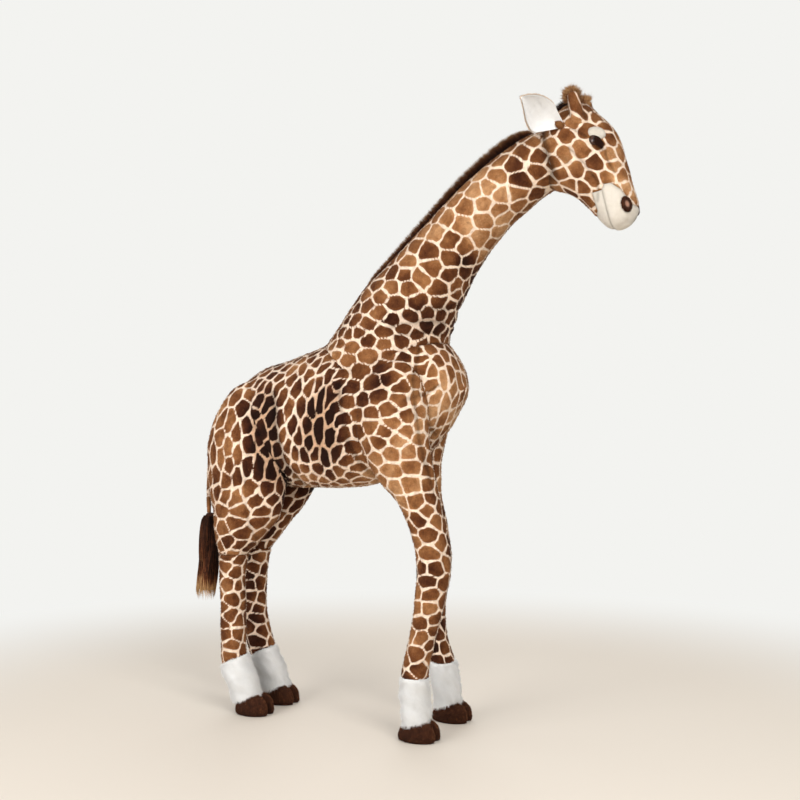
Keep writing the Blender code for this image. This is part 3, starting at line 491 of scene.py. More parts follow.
def grid_normals(grid):
    """Outward unit normals: the cross product of the step around and the step along."""
    along = np.gradient(grid, axis=0)
    around = np.roll(grid, -1, axis=1) - np.roll(grid, 1, axis=1)
    normal = np.cross(around, along)
    length = np.linalg.norm(normal, axis=2, keepdims=True)
    normal = normal / np.maximum(length, 1e-12)
    middle = grid.mean(axis=1, keepdims=True)
    outward = np.sign(((grid - middle) * normal).sum(axis=(1, 2)))
    return normal * np.where(outward < 0, -1.0, 1.0)[:, None, None]


# %% Meshes from arrays
def fill_mesh(name, points, quads, triangles, quad_uv, triangle_uv):
    """A mesh from arrays of points and faces, with its own flat map for every corner."""
    mesh = bpy.data.meshes.new(name)
    corners = np.concatenate([quads.reshape(-1), triangles.reshape(-1)]).astype(np.int32)
    totals = np.concatenate([np.full(len(quads), 4), np.full(len(triangles), 3)]).astype(np.int32)
    mesh.vertices.add(len(points))
    mesh.vertices.foreach_set("co", np.asarray(points, np.float32).reshape(-1))
    mesh.loops.add(len(corners))
    mesh.loops.foreach_set("vertex_index", corners)
    mesh.polygons.add(len(totals))
    mesh.polygons.foreach_set("loop_start", np.concatenate([[0], np.cumsum(totals)[:-1]]).astype(np.int32))
    mesh.polygons.foreach_set("loop_total", totals)
    flat_map = mesh.uv_layers.new(name="OFBake")
    uv = np.concatenate([quad_uv.reshape(-1, 2), triangle_uv.reshape(-1, 2)]).astype(np.float32)
    flat_map.data.foreach_set("uv", uv.reshape(-1))
    mesh.update(calc_edges=True)
    mesh.validate()
    return mesh


def add_piece(name, mesh, mat, values=None):
    """An object at the origin with its material and the values that its points carry."""
    for key, value in (values or {}).items():
        layer = mesh.attributes.new(key, "FLOAT", "POINT")
        layer.data.foreach_set("value", np.asarray(value, np.float32).reshape(-1))
    mesh.materials.append(mat)
    mesh.shade_smooth()
    piece = bpy.data.objects.new(name, mesh)
    bpy.context.scene.collection.objects.link(piece)
    return piece


def grid_mesh(name, grid):
    """A closed skin from a grid whose first and last rows have each shrunk to one point."""
    rows, around, _ = grid.shape
    body = grid[1:-1].reshape(-1, 3)
    points = np.vstack([body, grid[0].mean(0), grid[-1].mean(0)])
    i, j = np.meshgrid(np.arange(rows - 3), np.arange(around), indexing="ij")
    i, j = i.ravel(), j.ravel()
    k = (j + 1) % around
    quads = np.stack([i * around + j, i * around + k, (i + 1) * around + k, (i + 1) * around + j], axis=1)
    u = np.stack([j, j + 1, j + 1, j], axis=1) / around
    v = (np.stack([i, i, i + 1, i + 1], axis=1) + 1) / (rows - 1)
    column = np.arange(around)
    after = (column + 1) % around
    last = (rows - 3) * around
    low_pole, high_pole = len(body), len(body) + 1
    low = np.stack([np.full(around, low_pole), after, column], axis=1)
    high = np.stack([np.full(around, high_pole), last + column, last + after], axis=1)
    rim_v = np.broadcast_to(np.array((0, 1, 1)) / (rows - 1), (around, 3))
    low_uv = np.stack([np.stack([column + 0.5, column + 1, column], 1) / around, rim_v], axis=-1)
    high_uv = np.stack([np.stack([column + 0.5, column, column + 1], 1) / around, 1 - rim_v], axis=-1)
    triangles = np.concatenate([low, high])
    triangle_uv = np.concatenate([low_uv, high_uv])
    return turned_out(fill_mesh(name, points, quads, triangles, np.stack([u, v], axis=-1), triangle_uv))


def turned_out(mesh):
    """The mesh with its faces turned outwards: its volume, summed from its faces, has to be positive."""
    count = len(mesh.polygons)
    normals = np.empty(count * 3, np.float32)
    centres = np.empty(count * 3, np.float32)
    areas = np.empty(count, np.float32)
    mesh.polygons.foreach_get("normal", normals)
    mesh.polygons.foreach_get("center", centres)
    mesh.polygons.foreach_get("area", areas)
    volume = (normals.reshape(-1, 3) * centres.reshape(-1, 3)).sum(1) @ areas / 3
    if volume < 0:
        mesh.flip_normals()
    return mesh


def on_points(grid_value):
    """A grid's values in the order of its mesh's points: the body row by row, then the two poles."""
    first = np.asarray(grid_value[0]).mean(0, keepdims=True)
    last = np.asarray(grid_value[-1]).mean(0, keepdims=True)
    body = grid_value[1:-1].reshape(-1, *grid_value.shape[2:])
    return np.concatenate([body, first, last])

# %% [markdown]
# ## Sewing the forms together
# Where two stuffed forms meet, the cloth runs from one into the other in a soft valley with a seam at
# its bottom. Each form can tell how far any point lies from its surface, so a smooth minimum of two such
# distances gives the filled valley. Points of each skin are moved out onto it, and past the seam a skin
# dives under its neighbour. Voxel remeshing could fuse the forms too, but then no seam would be left.

# %% Distance to a form
form_rows = 90
points_at_once = 8000


class Form:
    """A stuffed form as ovals along its course: middle, half chord with its slant, half width and y."""

    def __init__(self, stations):
        """Reads the stations again at even distances, each with the way its chord and its course go."""
        rows = even_rows(stations, form_rows)
        low, high = rows[:, 0:2], rows[:, 2:4]
        self.middle = (low + high) / 2
        chord = (high - low) / 2
        self.half = np.linalg.norm(chord, axis=1)
        self.up = chord / self.half[:, None]
        course = np.gradient(self.middle, axis=0)
        ahead = np.c_[self.up[:, 1], -self.up[:, 0]]
        self.ahead = ahead * np.sign((ahead * course).sum(1))[:, None]
        self.width = rows[:, 4]
        self.aside = rows[:, 5]

    def distance(self, points):
        """About how far points lie outside the form. The station whose plane holds a point is found,
        and there it is (r - 1) over the slope of r, where r is the point's place on the oval's scale."""
        count = len(points) // points_at_once + 1
        return np.concatenate([self.part_distance(part) for part in np.array_split(points, count)])

    def part_distance(self, points):
        """The distances for as many points as are worked out at once. Past an end, the gap to the end's
        plane counts too."""
        flat = points[:, (0, 2)]
        away = flat[:, None, :] - self.middle
        ahead = (away * self.ahead).sum(2)
        crosses = (ahead[:, :-1] >= 0) & (ahead[:, 1:] < 0)
        gap = np.linalg.norm(away, axis=2)
        gap = np.where(crosses, gap[:, :-1] + gap[:, 1:], np.inf)
        rows = np.arange(len(points))
        first = gap.argmin(1)
        held = crosses[rows, first]
        t = ahead[rows, first] / (ahead[rows, first] - ahead[rows, first + 1] + 1e-12)
        last = len(self.half) - 1
        before = ahead[:, 0] < 0
        first = np.where(held, first, np.where(before, 0, last - 1))
        t = np.where(held, t, np.where(before, 0.0, 1.0))
        beyond = np.where(held, 0.0, np.where(before, -ahead[:, 0], ahead[:, -1]))
        middle, half, up, width, aside = (
            column[first] + (column[first + 1] - column[first]) * (t if column.ndim == 1 else t[:, None])
            for column in (self.middle, self.half, self.up, self.width, self.aside)
        )
        u = ((flat - middle) * up).sum(1)
        v = points[:, 1] - aside
        scale = np.hypot(u / half, v / width)
        slope = np.hypot(u / half**2, v / width**2)
        side = (scale - 1.0) * scale / np.maximum(slope, 1e-9)
        past = np.hypot(np.maximum(side, 0.0), beyond)
        return np.where(beyond > 0, past, side)


forms = {"torso": Form(torso_stations), "neck": Form(neck_stations), "head": Form(head_stations)}
for leg_name, course in leg_courses.items():
    top = course[-1, 0]
    bottom = hock_height if leg_name.startswith("hind") else fore_sock_top
    forms[leg_name] = Form(leg_stations(course, bottom, top, 0.0, 0.0))
print("forms:", ", ".join(forms))

# %% Valleys and seams
valley_reach = 0.014
seam_depth = 0.0012
seam_half_width = 0.0035
dive = 0.012
dive_run = 0.7
valley_start = 0.4
settling_rounds = 3


def rise_between(value, low, high):
    """0 below low, 1 above high and a smooth step between."""
    t = np.clip((value - low) / (high - low), 0.0, 1.0)
    return t * t * (3.0 - 2.0 * t)


def sew(grid, own, others):
    """Moves a skin onto the smooth union of its form and others. For distances a and b and a reach k it
    is the lower of them less h squared times k / 4, where h is (k - |a - b|) / k and not below 0. Past
    the seam the skin sinks. Gives the new grid and how far each point lies past the seam."""
    normal = grid_normals(grid).reshape(-1, 3)
    points = grid.reshape(-1, 3).copy()

    def both(places):
        """The distance to the skin's own form and the least one to the others."""
        a = forms[own].distance(places)
        b = np.min([forms[name].distance(places) for name in others], axis=0)
        return a, b

    for _ in range(settling_rounds):
        a, b = both(points)
        h = np.clip(valley_reach - np.abs(a - b), 0.0, None) / valley_reach
        level = np.minimum(a, b) - h**2 * valley_reach / 4
        share = (1.0 - rise_between(a - b, valley_reach * valley_start, valley_reach)) * (h > 0)
        points -= normal * (level * share)[:, None]
    a, b = both(points)
    over = a - b
    sink = rise_between(over, 0.0, dive * dive_run) * dive
    seam = np.exp(-((over / seam_half_width) ** 2)) * seam_depth
    points -= normal * (sink + seam)[:, None]
    return points.reshape(grid.shape), over.reshape(grid.shape[:2])


# %% Folds and seams in the cloth
stuffing_lump = 0.0004
side_facing = 0.2

# Each is a line in the side view, in metres, with its depth, its half width and how much shade
# is painted along it.
fold_lines = {
    "armpit": (
        ((-0.087, 0.739), (-0.075, 0.665), (-0.065, 0.601), (-0.044, 0.555), (0.001, 0.525)),
        0.0035, 0.007, 0.55,
    ),
    "chest_seam": (
        ((0.080, 0.821), (0.084, 0.748), (0.093, 0.686), (0.100, 0.624),
         (0.107, 0.583), (0.130, 0.501), (0.139, 0.460)),
        0.0022, 0.0035, 0.55,
    ),
    "chest_pinch": (((0.077, 0.707), (0.111, 0.724), (0.125, 0.736)), 0.0030, 0.005, 0.45),
    "flank": (
        ((-0.256, 0.724), (-0.246, 0.685), (-0.239, 0.620), (-0.231, 0.555), (-0.211, 0.508)),
        0.0045, 0.009, 0.70,
    ),
    "thigh_seam": (
        ((-0.300, 0.600), (-0.309, 0.540), (-0.318, 0.487), (-0.315, 0.421), (-0.313, 0.377)),
        0.0016, 0.003, 0.45,
    ),
    "neck_fold_low": (((0.038, 0.840), (0.093, 0.850), (0.157, 0.838)), 0.0030, 0.006, 0.45),
    "neck_fold": (((0.030, 0.858), (0.093, 0.872), (0.157, 0.862)), 0.0035, 0.007, 0.55),
    "neck_fold_high": (((0.054, 0.880), (0.105, 0.897), (0.166, 0.900)), 0.0030, 0.007, 0.45),
    "cheek": (((0.404, 1.207), (0.431, 1.177), (0.459, 1.137), (0.455, 1.101)), 0.0020, 0.0032, 0.55),
    "jaw": (((0.360, 1.213), (0.383, 1.191), (0.404, 1.181)), 0.0012, 0.003, 0.30),
    "tear": (((0.472, 1.203), (0.476, 1.183), (0.490, 1.155)), 0.0012, 0.0022, 0.60),
    "brow": (((0.412, 1.243), (0.424, 1.236), (0.437, 1.228)), 0.0018, 0.003, 0.60),
}
folds_of = {
    "torso": ("armpit", "flank", "chest_seam", "chest_pinch", "neck_fold_low"),
    "neck": ("neck_fold_low", "neck_fold", "neck_fold_high"),
    "fore": ("armpit", "chest_seam", "chest_pinch"),
    "hind": ("flank", "thigh_seam"),
    "head": ("cheek", "jaw", "tear", "brow"),
}


def line_distance(flat, line):
    """The least distance from points in the side view to a line of straight runs."""
    best = np.full(len(flat), np.inf)
    for start, end in zip(np.array(line[:-1]), np.array(line[1:])):
        way = end - start
        t = np.clip((flat - start) @ way / (way @ way), 0.0, 1.0)
        best = np.minimum(best, np.linalg.norm(flat - start - t[:, None] * way, axis=1))
    return best


def near_fold(name, flat, normals):
    """How near points are to the crease of that name: 1 on its line, falling as a bell over its half width.
    A crease shows only where the cloth faces sideways; it gives both a groove and painted shade."""
    line, _, half_width, _ = fold_lines[name]
    return np.exp(-((line_distance(flat, line) / half_width) ** 2)) * (np.abs(normals[:, 1]) > side_facing)


def folded(grid, family):
    """Presses a family's folds into a skin, each as a round groove. Gives the grid and the painted shade
    along the folds.
    """
    normal = grid_normals(grid).reshape(-1, 3)
    points = grid.reshape(-1, 3)
    flat = points[:, (0, 2)]
    depth = np.zeros(len(points))
    dark = np.zeros(len(points))
    for name in folds_of[family]:
        near = near_fold(name, flat, normal)
        _, deep, _, shade = fold_lines[name]
        depth += near * deep
        # Painted shade: each fold darkens the colour along its line, as shade falls in the crease.
        dark = np.maximum(dark, near * shade)
    lumps = np.sin(flat[:, 0] * 71.0 + points[:, 1] * 40.0) + np.sin(flat[:, 1] * 83.0 + flat[:, 0] * 37.0)
    lumps += np.sin(points[:, 1] * 90.0 + flat[:, 1] * 55.0 + flat[:, 0] * 20.0)
    points = points - normal * (depth - lumps * stuffing_lump)[:, None]
    return points.reshape(grid.shape), dark.reshape(grid.shape[:2])


# %% The skins that carry the patches
skin_step = 0.0042
fewest_rows = 24


def course_run(stations):
    """How far along its course each station lies. Both ends of its chord move, hence the root of 2."""
    step = np.linalg.norm(np.diff(stations[:, :4], axis=0), axis=1)
    return np.r_[0.0, np.cumsum(step)] / math.sqrt(2.0)


def skin_grid(stations, around):
    """A form's grid with rows about one skin step apart."""
    length = np.linalg.norm(np.diff(stations[:, :4], axis=0), axis=1).sum() / math.sqrt(2.0)
    return ring_grid(even_rows(stations, max(int(length / skin_step), fewest_rows)), around)


def tucked(stations, low=True, high=True, reach=0.006, depth=0.0045):
    """Stations whose ends curl inwards, as the cloth does at a closed seam."""
    run = course_run(stations)
    from_end = np.minimum(run if low else run + 1.0, (run[-1] - run) if high else run * 0 + 1.0)
    pull = depth * (1.0 - np.sqrt(1.0 - (1.0 - np.clip(from_end / reach, 0.0, 1.0)) ** 2))
    middle = (stations[:, 0:2] + stations[:, 2:4]) / 2
    half = (stations[:, 2:4] - stations[:, 0:2]) / 2
    size = np.linalg.norm(half, axis=1, keepdims=True)
    half = half * (size - pull[:, None]) / size
    return np.c_[middle - half, middle + half, stations[:, 4] - pull, stations[:, 5]]


skins = {}
# Painted shade: a darker band along each seam where a skin dives under its neighbour, and a darker band at
# the neck's end, where the head's ball sits in the neck.
seam_shade_width = seam_half_width * 1.3
seam_shade = 0.25
neck_end_shade = 0.90
neck_end_width = 0.012


def keep_skin(name, family, grid, own=None, others=()):
    """Sews and folds a grid, then keeps it under its name with its normals and the painted shade of its folds
    and seams.
    """
    over = np.full(grid.shape[:2], -1.0)
    if others:
        grid, over = sew(grid, own, others)
    grid, dark = folded(grid, family)
    seam = np.exp(-((over / seam_shade_width) ** 2)) * seam_shade
    skins[name] = {
        "family": family,
        "grid": grid,
        "normal": grid_normals(grid),
        "fold": np.maximum(dark, seam),
        "showing": over < 0.002,
    }


neck_end_stations = tucked(neck_stations, low=False, reach=0.005, depth=0.004)
keep_skin("torso", "torso", skin_grid(torso_stations, 208), "torso",
          ("neck", "fore_right", "fore_left", "hind_right", "hind_left"))
keep_skin("neck", "neck", skin_grid(neck_end_stations, 120), "neck", ("torso", "fore_right", "fore_left"))
for leg_name, course in leg_courses.items():
    pair, side_name = leg_name.split("_")
    top = course[-1, 0]
    if pair == "fore":
        stations = tucked(leg_stations(course, fore_sock_top, top, 0.0, 0.0), high=False)
        keep_skin("foreleg_" + side_name, pair, skin_grid(stations, 88), leg_name, ("torso", "neck"))
    else:
        stations = tucked(leg_stations(course, hock_height, top, 0.0, 0.0), high=False)
        keep_skin("hind_thigh_" + side_name, pair, skin_grid(stations, 96), leg_name, ("torso",))
        stations = tucked(leg_stations(course, hind_sock_top, hock_height, hind_sock_slope, 0.0))
        keep_skin("hind_shank_" + side_name, pair, skin_grid(stations, 56))
# Painted shade at the neck's end.
from_end = np.linalg.norm(skins["neck"]["grid"] - skins["neck"]["grid"][-1], axis=2)
neck_end_painted_shade = neck_end_shade * np.exp(-((from_end / neck_end_width) ** 2))
skins["neck"]["fold"] = np.maximum(skins["neck"]["fold"], neck_end_painted_shade)
for name, skin in skins.items():
    print(name, skin["grid"].shape[:2], "points,", int(skin["showing"].sum()), "of them showing")

# %% [markdown]
# ## The head's skin
# The head turns on a stuffed ball inside the neck's end, and that ball is the back of its own skin. The
# snout's cream cloth is sewn on along two seams, which run as lines in the side view. The whole head is
# worked out first, with a groove along both seams, and then cut into its three pieces.

# %% Head and snout grid
ball_rows = 9
lip_shares = (
    (0.592, -0.385), (0.618, -0.330), (0.680, -0.323), (0.769, -0.385),
    (0.865, -0.530), (0.960, -0.570), (1.100, -0.900), (0.735, -1.090),
)
jaw_shares = (
    (0.489, -0.407), (0.592, -0.385), (0.735, -1.090), (0.450, -1.000), (0.450, -0.700), (0.525, -0.572),
)


def head_line(shares):
    """A seam's corners in metres in the side view, from shares of the head's length."""
    return np.array(shares) * head_length + np.array((pivot_x, pivot_height))


def make_head_stations():
    """The ball's ovals up to the pivot, then the head's own, led through one smooth curve."""
    angle = np.radians(np.linspace(12.0, 84.0, ball_rows))
    x = pivot_x - skull_ball_radius * np.cos(angle)
    half = skull_ball_radius * np.sin(angle)
    ball = np.c_[x, pivot_height - half, x, pivot_height + half, half, half * 0]
    rows = np.array(head_shares[1:], float)
    own = np.c_[
        pivot_x + rows[:, 0] * head_length, pivot_height + rows[:, 1] * head_length,
        pivot_x + rows[:, 2] * head_length, pivot_height + rows[:, 3] * head_length,
        rows[:, 4] * head_width / 2, rows[:, 0] * 0,
    ]
    return smooth_rows(np.vstack([ball, own]), 500)


head_seam_width = 0.0026
head_seam_depth = 0.0022
lip_line, jaw_line = head_line(lip_shares), head_line(jaw_shares)
lip_seam = lip_line[:6]
jaw_seam = np.vstack([jaw_line[3:], jaw_line[:3]])


def snout_groove(flat):
    """1 on the snout's two seams, falling as a bell over the seam's width."""
    gap = np.minimum(line_distance(flat, lip_seam), line_distance(flat, jaw_seam))
    return np.exp(-((gap / head_seam_width) ** 2))


head_grid = skin_grid(make_head_stations(), 132)
head_grid, _ = folded(head_grid, "head")
head_normal = grid_normals(head_grid)
flat_head = head_grid.reshape(-1, 3)[:, (0, 2)]
groove = snout_groove(flat_head).reshape(head_grid.shape[:2])
head_grid = head_grid - head_normal * (groove * head_seam_depth)[:, :, None]
print("head grid", head_grid.shape[:2])

# %% [markdown]
# ## The pattern of patches
# The cloth is printed with brown patches between pale lines. Each patch grows from a seed: a point of
# the skin belongs to its nearest seed, and a pale line runs where two seeds are equally near. The seeds
# are spread by always taking the place that is farthest from those already chosen, which gives even
# patches without a grid. A shader's Voronoi texture is quicker, but it cuts through the toy as solid
# cells, so its patches come out in very unlike sizes. Near is measured by an oval rule, because the
# patches are tall on the flank and wide on the legs.

# %% Size and lie of the patches
def patch_rule(name, points):
    """The way in which the patches are longest, their length and their width at each point."""
    x, z = points[:, 0], points[:, 2]
    way = np.zeros((len(points), 3))
    if name == "torso":
        rear = 1.0 - rise_between(x, -0.13, -0.03)
        chest = rise_between(x, 0.075, 0.125)
        tall = np.maximum(rear, chest)
        way[:, 0] = 1.0 - tall + 0.15 * rear
        way[:, 2] = tall - 0.25 * (1.0 - tall)
        flank = np.exp(-(((x + 0.12) / 0.05) ** 2))
        long = 0.047 + 0.007 * tall + 0.012 * flank
        wide = 0.030 - 0.002 * tall
    elif name == "neck":
        up = rise_between(z, 0.86, 0.98)
        way[:, 0] = 1.0
        way[:, 2] = -0.5 * up
        long = 0.046 + 0.004 * up
        wide = 0.030 + 0.012 * up
    elif name.startswith("foreleg"):
        way[:, 0] = 1.0
        low = 1.0 - rise_between(z, 0.36, 0.50)
        long = 0.048 + 0.012 * low
        wide = 0.036 + 0.001 * low
    elif name.startswith("hind_thigh"):
        upper = rise_between(z, 0.45, 0.56)
        way[:, 0] = 1.0 - 0.9 * upper
        way[:, 2] = 0.3 + 0.7 * upper
        long = 0.048 + 0.011 * upper
        wide = 0.034 + 0.0 * upper
    elif name.startswith("hind_shank"):
        way[:, 0] = 1.0
        long = 0.064 + 0.0 * x
        wide = 0.034 + 0.0 * x
    else:
        way[:, 0] = 0.8
        way[:, 2] = -0.4
        long = 0.043 + 0.0 * x
        wide = 0.035 + 0.0 * x
    way /= np.linalg.norm(way, axis=1, keepdims=True)
    return way, long, wide


junction_reach = 0.040
leg_junctions = (("fore_right", "foreleg"), ("fore_left", "foreleg"))
junctions = {
    "torso": (("neck", "neck"), ("hind_right", "hind_thigh"), ("hind_left", "hind_thigh"), *leg_junctions),
    "neck": leg_junctions,
}


def skin_rule(name, points):
    """A skin's rule, eased over to the rule of each form that it is sewn to, so that the patches run on
    across the seams."""
    rule = patch_rule(name, points)
    for form, other in junctions.get(name, ()):
        share = 1.0 - rise_between(forms[form].distance(points), 0.0, junction_reach)
        theirs = patch_rule(other, points)
        way = rule[0] + (theirs[0] - rule[0]) * share[:, None]
        way /= np.linalg.norm(way, axis=1, keepdims=True)
        rule = (way, rule[1] + (theirs[1] - rule[1]) * share, rule[2] + (theirs[2] - rule[2]) * share)
    return rule


side_weight = 0.35


def patch_distance(points, normals, rule, seeds, seed_normals):
    """Squared distance from each point to each seed: the step across the patch over its width and the
    step along it over its length, squared and added, and a share for how differently the cloth faces."""
    way, long, wide = rule
    step = points[:, None, :] - seeds[None]
    along = (step * way[:, None, :]).sum(2)
    whole = (step**2).sum(2)
    facing = side_weight * (1.0 - normals @ seed_normals.T)
    return whole / wide[:, None] ** 2 + along**2 * (1.0 / long**2 - 1.0 / wide**2)[:, None] + facing


# %% Spread the seeds
seed_spread = 0.70
candidate_count = 42000


def gather_candidates():
    """Random points of all the showing skins, with normals and patch rules."""
    draw = np.random.default_rng(11)
    total = sum(int(skin["showing"].sum()) for skin in skins.values()) + head_grid[..., 0].size
    points, normals, ways, longs, wides = [], [], [], [], []
    for name, skin in list(skins.items()) + [("head", None)]:
        grid, normal = (head_grid, head_normal) if skin is None else (skin["grid"], skin["normal"])
        keep = np.full(grid.shape[:2], True) if skin is None else skin["showing"]
        chosen = keep.ravel() & (draw.random(keep.size) < candidate_count / total)
        place = grid.reshape(-1, 3)[chosen]
        way, long, wide = skin_rule(name, place)
        found = (place, normal.reshape(-1, 3)[chosen], way, long, wide)
        for store, value in zip((points, normals, ways, longs, wides), found):
            store.append(value)
    return [np.concatenate(store).astype(np.float32) for store in (points, normals, ways, longs, wides)]


def spread_seeds():
    """Takes the candidate farthest from all seeds again and again, then moves each seed once to the
    middle of the candidates that are nearest to it."""
    points, normals, ways, longs, wides = gather_candidates()
    draw = np.random.default_rng(12)
    unevenness = draw.uniform(0.72, 1.30, len(points)).astype(np.float32)
    nearest = np.full(len(points), np.inf, np.float32)
    chosen = [0]
    while True:
        seed = chosen[-1]
        rule = (ways, longs, wides)
        gap = patch_distance(points, normals, rule, points[seed][None], normals[seed][None])[:, 0]
        nearest = np.minimum(nearest, gap * unevenness)
        far = int(nearest.argmax())
        if nearest[far] < seed_spread**2:
            break
        chosen.append(far)
    seeds, seed_normals = points[chosen], normals[chosen]
    owner = np.concatenate([
        patch_distance(p, n, (w, l, s), seeds, seed_normals).argmin(1)
        for p, n, w, l, s in zip(*(np.array_split(v, 20) for v in (points, normals, ways, longs, wides)))
    ])
    count = np.maximum(np.bincount(owner, minlength=len(seeds)), 1)
    middle = np.stack([np.bincount(owner, points[:, k], len(seeds)) / count for k in range(3)], axis=1)
    seeds = (seeds + middle.astype(np.float32)) / 2
    return seeds, seed_normals, draw.uniform(0.0, 1.0, len(seeds))


patch_seeds, patch_seed_normals, patch_tones = spread_seeds()
print(len(patch_seeds), "patches")

# %% Distance to the pale lines
corner_round = 0.0035
edge_wander = 0.0013


def paint(name, points, normals):
    """For each point, how far it lies inside its patch and its patch's tone. The distance to the line
    between two seeds is half the difference of their squared distances over that difference's slope,
    and the lines to the two next seeds are joined by a smooth minimum, which rounds the corners."""
    wander = np.sin(points @ np.array(((310.0, 90.0, 40.0), (60.0, 280.0, 110.0), (120.0, 50.0, 330.0))))
    points = points + edge_wander * wander
    rule = skin_rule(name, points)
    edges, tones = [], []
    pieces = len(points) // 3000 + 1
    split = [np.array_split(np.asarray(v, np.float32), pieces) for v in (points, normals, *rule)]
    for p, n, w, l, s in zip(*split):
        gap = patch_distance(p, n, (w, l, s), patch_seeds, patch_seed_normals)
        near = np.argpartition(gap, 2, axis=1)[:, :3]
        rank = np.take_along_axis(gap, near, 1).argsort(axis=1)
        near = np.take_along_axis(near, rank, 1)
        gap = np.take_along_axis(gap, near, 1)
        found = []
        for k in (1, 2):
            step = patch_seeds[near[:, k]] - patch_seeds[near[:, 0]]
            along = (step * w).sum(1)
            across = np.sqrt(np.maximum((step**2).sum(1) - along**2, 0.0))
            slope = np.hypot(along / l**2, across / s**2)
            found.append((gap[:, k] - gap[:, 0]) / 2 / np.maximum(slope, 1e-6))
        h = np.clip(corner_round - np.abs(found[0] - found[1]), 0.0, None) / corner_round
        edges.append(np.minimum(found[0], found[1]) - h**2 * corner_round / 4)
        tones.append(patch_tones[near[:, 0]])
    return np.concatenate(edges), np.concatenate(tones)


# %% Where the nap's shade and light are painted
# Brushed pile looks dark where it points at the eye and pale where it leans away, and some parts lie in
# shade; this is painted into the colour as shade and light. Each patch of it is an oval in the side view:
# middle, half sizes and how much darker it is. Below 0 it is paler, as painted light.
painted_nap_shade_ovals = (
    ((-0.276, 0.660), (0.036, 0.090), 0.62),
    ((-0.262, 0.560), (0.028, 0.075), 0.52),
    ((-0.133, 0.640), (0.052, 0.088), 0.66),
    ((-0.100, 0.715), (0.035, 0.040), 0.35),
    ((0.012, 0.738), (0.040, 0.030), 0.35),
    ((0.095, 0.870), (0.085, 0.045), 0.28),
    ((0.150, 0.960), (0.030, 0.050), 0.18),
    ((0.125, 0.700), (0.035, 0.090), -0.22),
    ((0.200, 1.080), (0.110, 0.140), -0.30),
    ((0.172, 1.010), (0.020, 0.048), 0.34),
    ((0.300, 1.175), (0.018, 0.060), 0.22),
    ((0.130, 0.640), (0.030, 0.110), -0.12),
    ((-0.420, 0.620), (0.050, 0.120), -0.10),
    ((-0.060, 0.525), (0.160, 0.035), -0.26),
    ((0.020, 0.610), (0.060, 0.060), -0.12),
    ((0.440, 1.130), (0.040, 0.030), 0.18),
    ((0.505, 1.130), (0.030, 0.030), -0.30),
)


def nap_shade(points):
    """The painted shade and light of the nap: 0 for the darkest and 1 for the palest, an even start less
    each oval's share, which falls off as a bell over its half sizes, and some slow waves."""
    flat = points[:, (0, 2)]
    shade = np.full(len(points), 0.54)
    for middle, half, amount in painted_nap_shade_ovals:
        away = (flat - np.array(middle)) / np.array(half)
        shade -= amount * np.exp(-(away**2).sum(1))
    waves = np.sin(flat[:, 0] * 61.0 + points[:, 1] * 33.0 + 1.0)
    waves = waves * np.sin(flat[:, 1] * 47.0 + points[:, 1] * 21.0)
    return np.clip(shade + 0.07 * waves, 0.0, 1.0)


# Painted shade: the inner side of each leg, which faces the other legs, is darkened by this share.
inner_leg_shade = 0.26
thin_line_share = 0.26


def kept_lines(edge):
    """Patch edges for a skin whose points lie as far apart as the pale lines are wide: points within one
    step of a line are drawn towards it, so that the line doesn't fade where it runs between points."""
    return edge - thin_line_share * np.clip(skin_step - edge, 0.0, None)


for name, skin in skins.items():
    points, normals = skin["grid"].reshape(-1, 3), skin["normal"].reshape(-1, 3)
    shape = skin["grid"].shape[:2]
    edge, tone = paint(name, points, normals)
    skin["edge"] = kept_lines(edge).reshape(shape)
    skin["tone"] = tone.reshape(shape)
    inward = 0.0
    if skin["family"] in ("fore", "hind"):
        inward = np.clip(-normals[:, 1] * sides[name.split("_")[-1]], 0.0, 1.0)
    # Painted shade on the legs' inner sides.
    skin["shade"] = (nap_shade(points) - inner_leg_shade * inward).reshape(shape)
print("patches painted")

# %% [markdown]
# ## Plush materials
# All the cloths share one thing: a fine, clumped grain of pile. It is a node group, used by every plush
# with its own scale and strength. The patched cloth then reads what its points carry: how far inside a
# patch they lie, the patch's tone, the painted shade and light of the nap, the painted shade of its folds,
# seams and hollows, and how far along a strand they are.

# %% Pile grain group
def make_pile_grain():
    """Fine speckle times soft clumps. Gives a multiplier near 1 and a height for a bump."""
    group = bpy.data.node_groups.new("pile_grain", "ShaderNodeTree")
    for label, start in (("Speckle Scale", 700.0), ("Clump Scale", 110.0), ("Strength", 0.3)):
        socket = group.interface.new_socket(label, in_out="INPUT", socket_type="NodeSocketFloat")
        socket.default_value = start
    group.interface.new_socket("Tint", in_out="OUTPUT", socket_type="NodeSocketFloat")
    group.interface.new_socket("Height", in_out="OUTPUT", socket_type="NodeSocketFloat")
    start = add_node(group, "NodeGroupInput", (-1500, 0))
    end = add_node(group, "NodeGroupOutput", (400, 0))
    place = add_node(group, "ShaderNodeTexCoord", (-1500, -300)).outputs["Object"]
    parts = []
    for label, detail in (("Speckle Scale", 2.0), ("Clump Scale", 4.0)):
        texture = add_node(group, "ShaderNodeTexNoise", (-1000, 0))
        texture.inputs["Detail"].default_value = detail
        group.links.new(place, texture.inputs["Vector"])
        group.links.new(start.outputs[label], texture.inputs["Scale"])
        parts.append(texture.outputs["Fac"])
    both = math_node(group, "MULTIPLY_ADD", parts[0], 0.45, math_node(group, "MULTIPLY", parts[1], 0.55))
    centred = math_node(group, "SUBTRACT", both, 0.5)
    spread = math_node(group, "MULTIPLY", centred, start.outputs["Strength"])
    tint = math_node(group, "MULTIPLY_ADD", spread, 4.0, 1.0)
    group.links.new(tint, end.inputs["Tint"])
    group.links.new(both, end.inputs["Height"])
    return group


pile_grain = make_pile_grain()


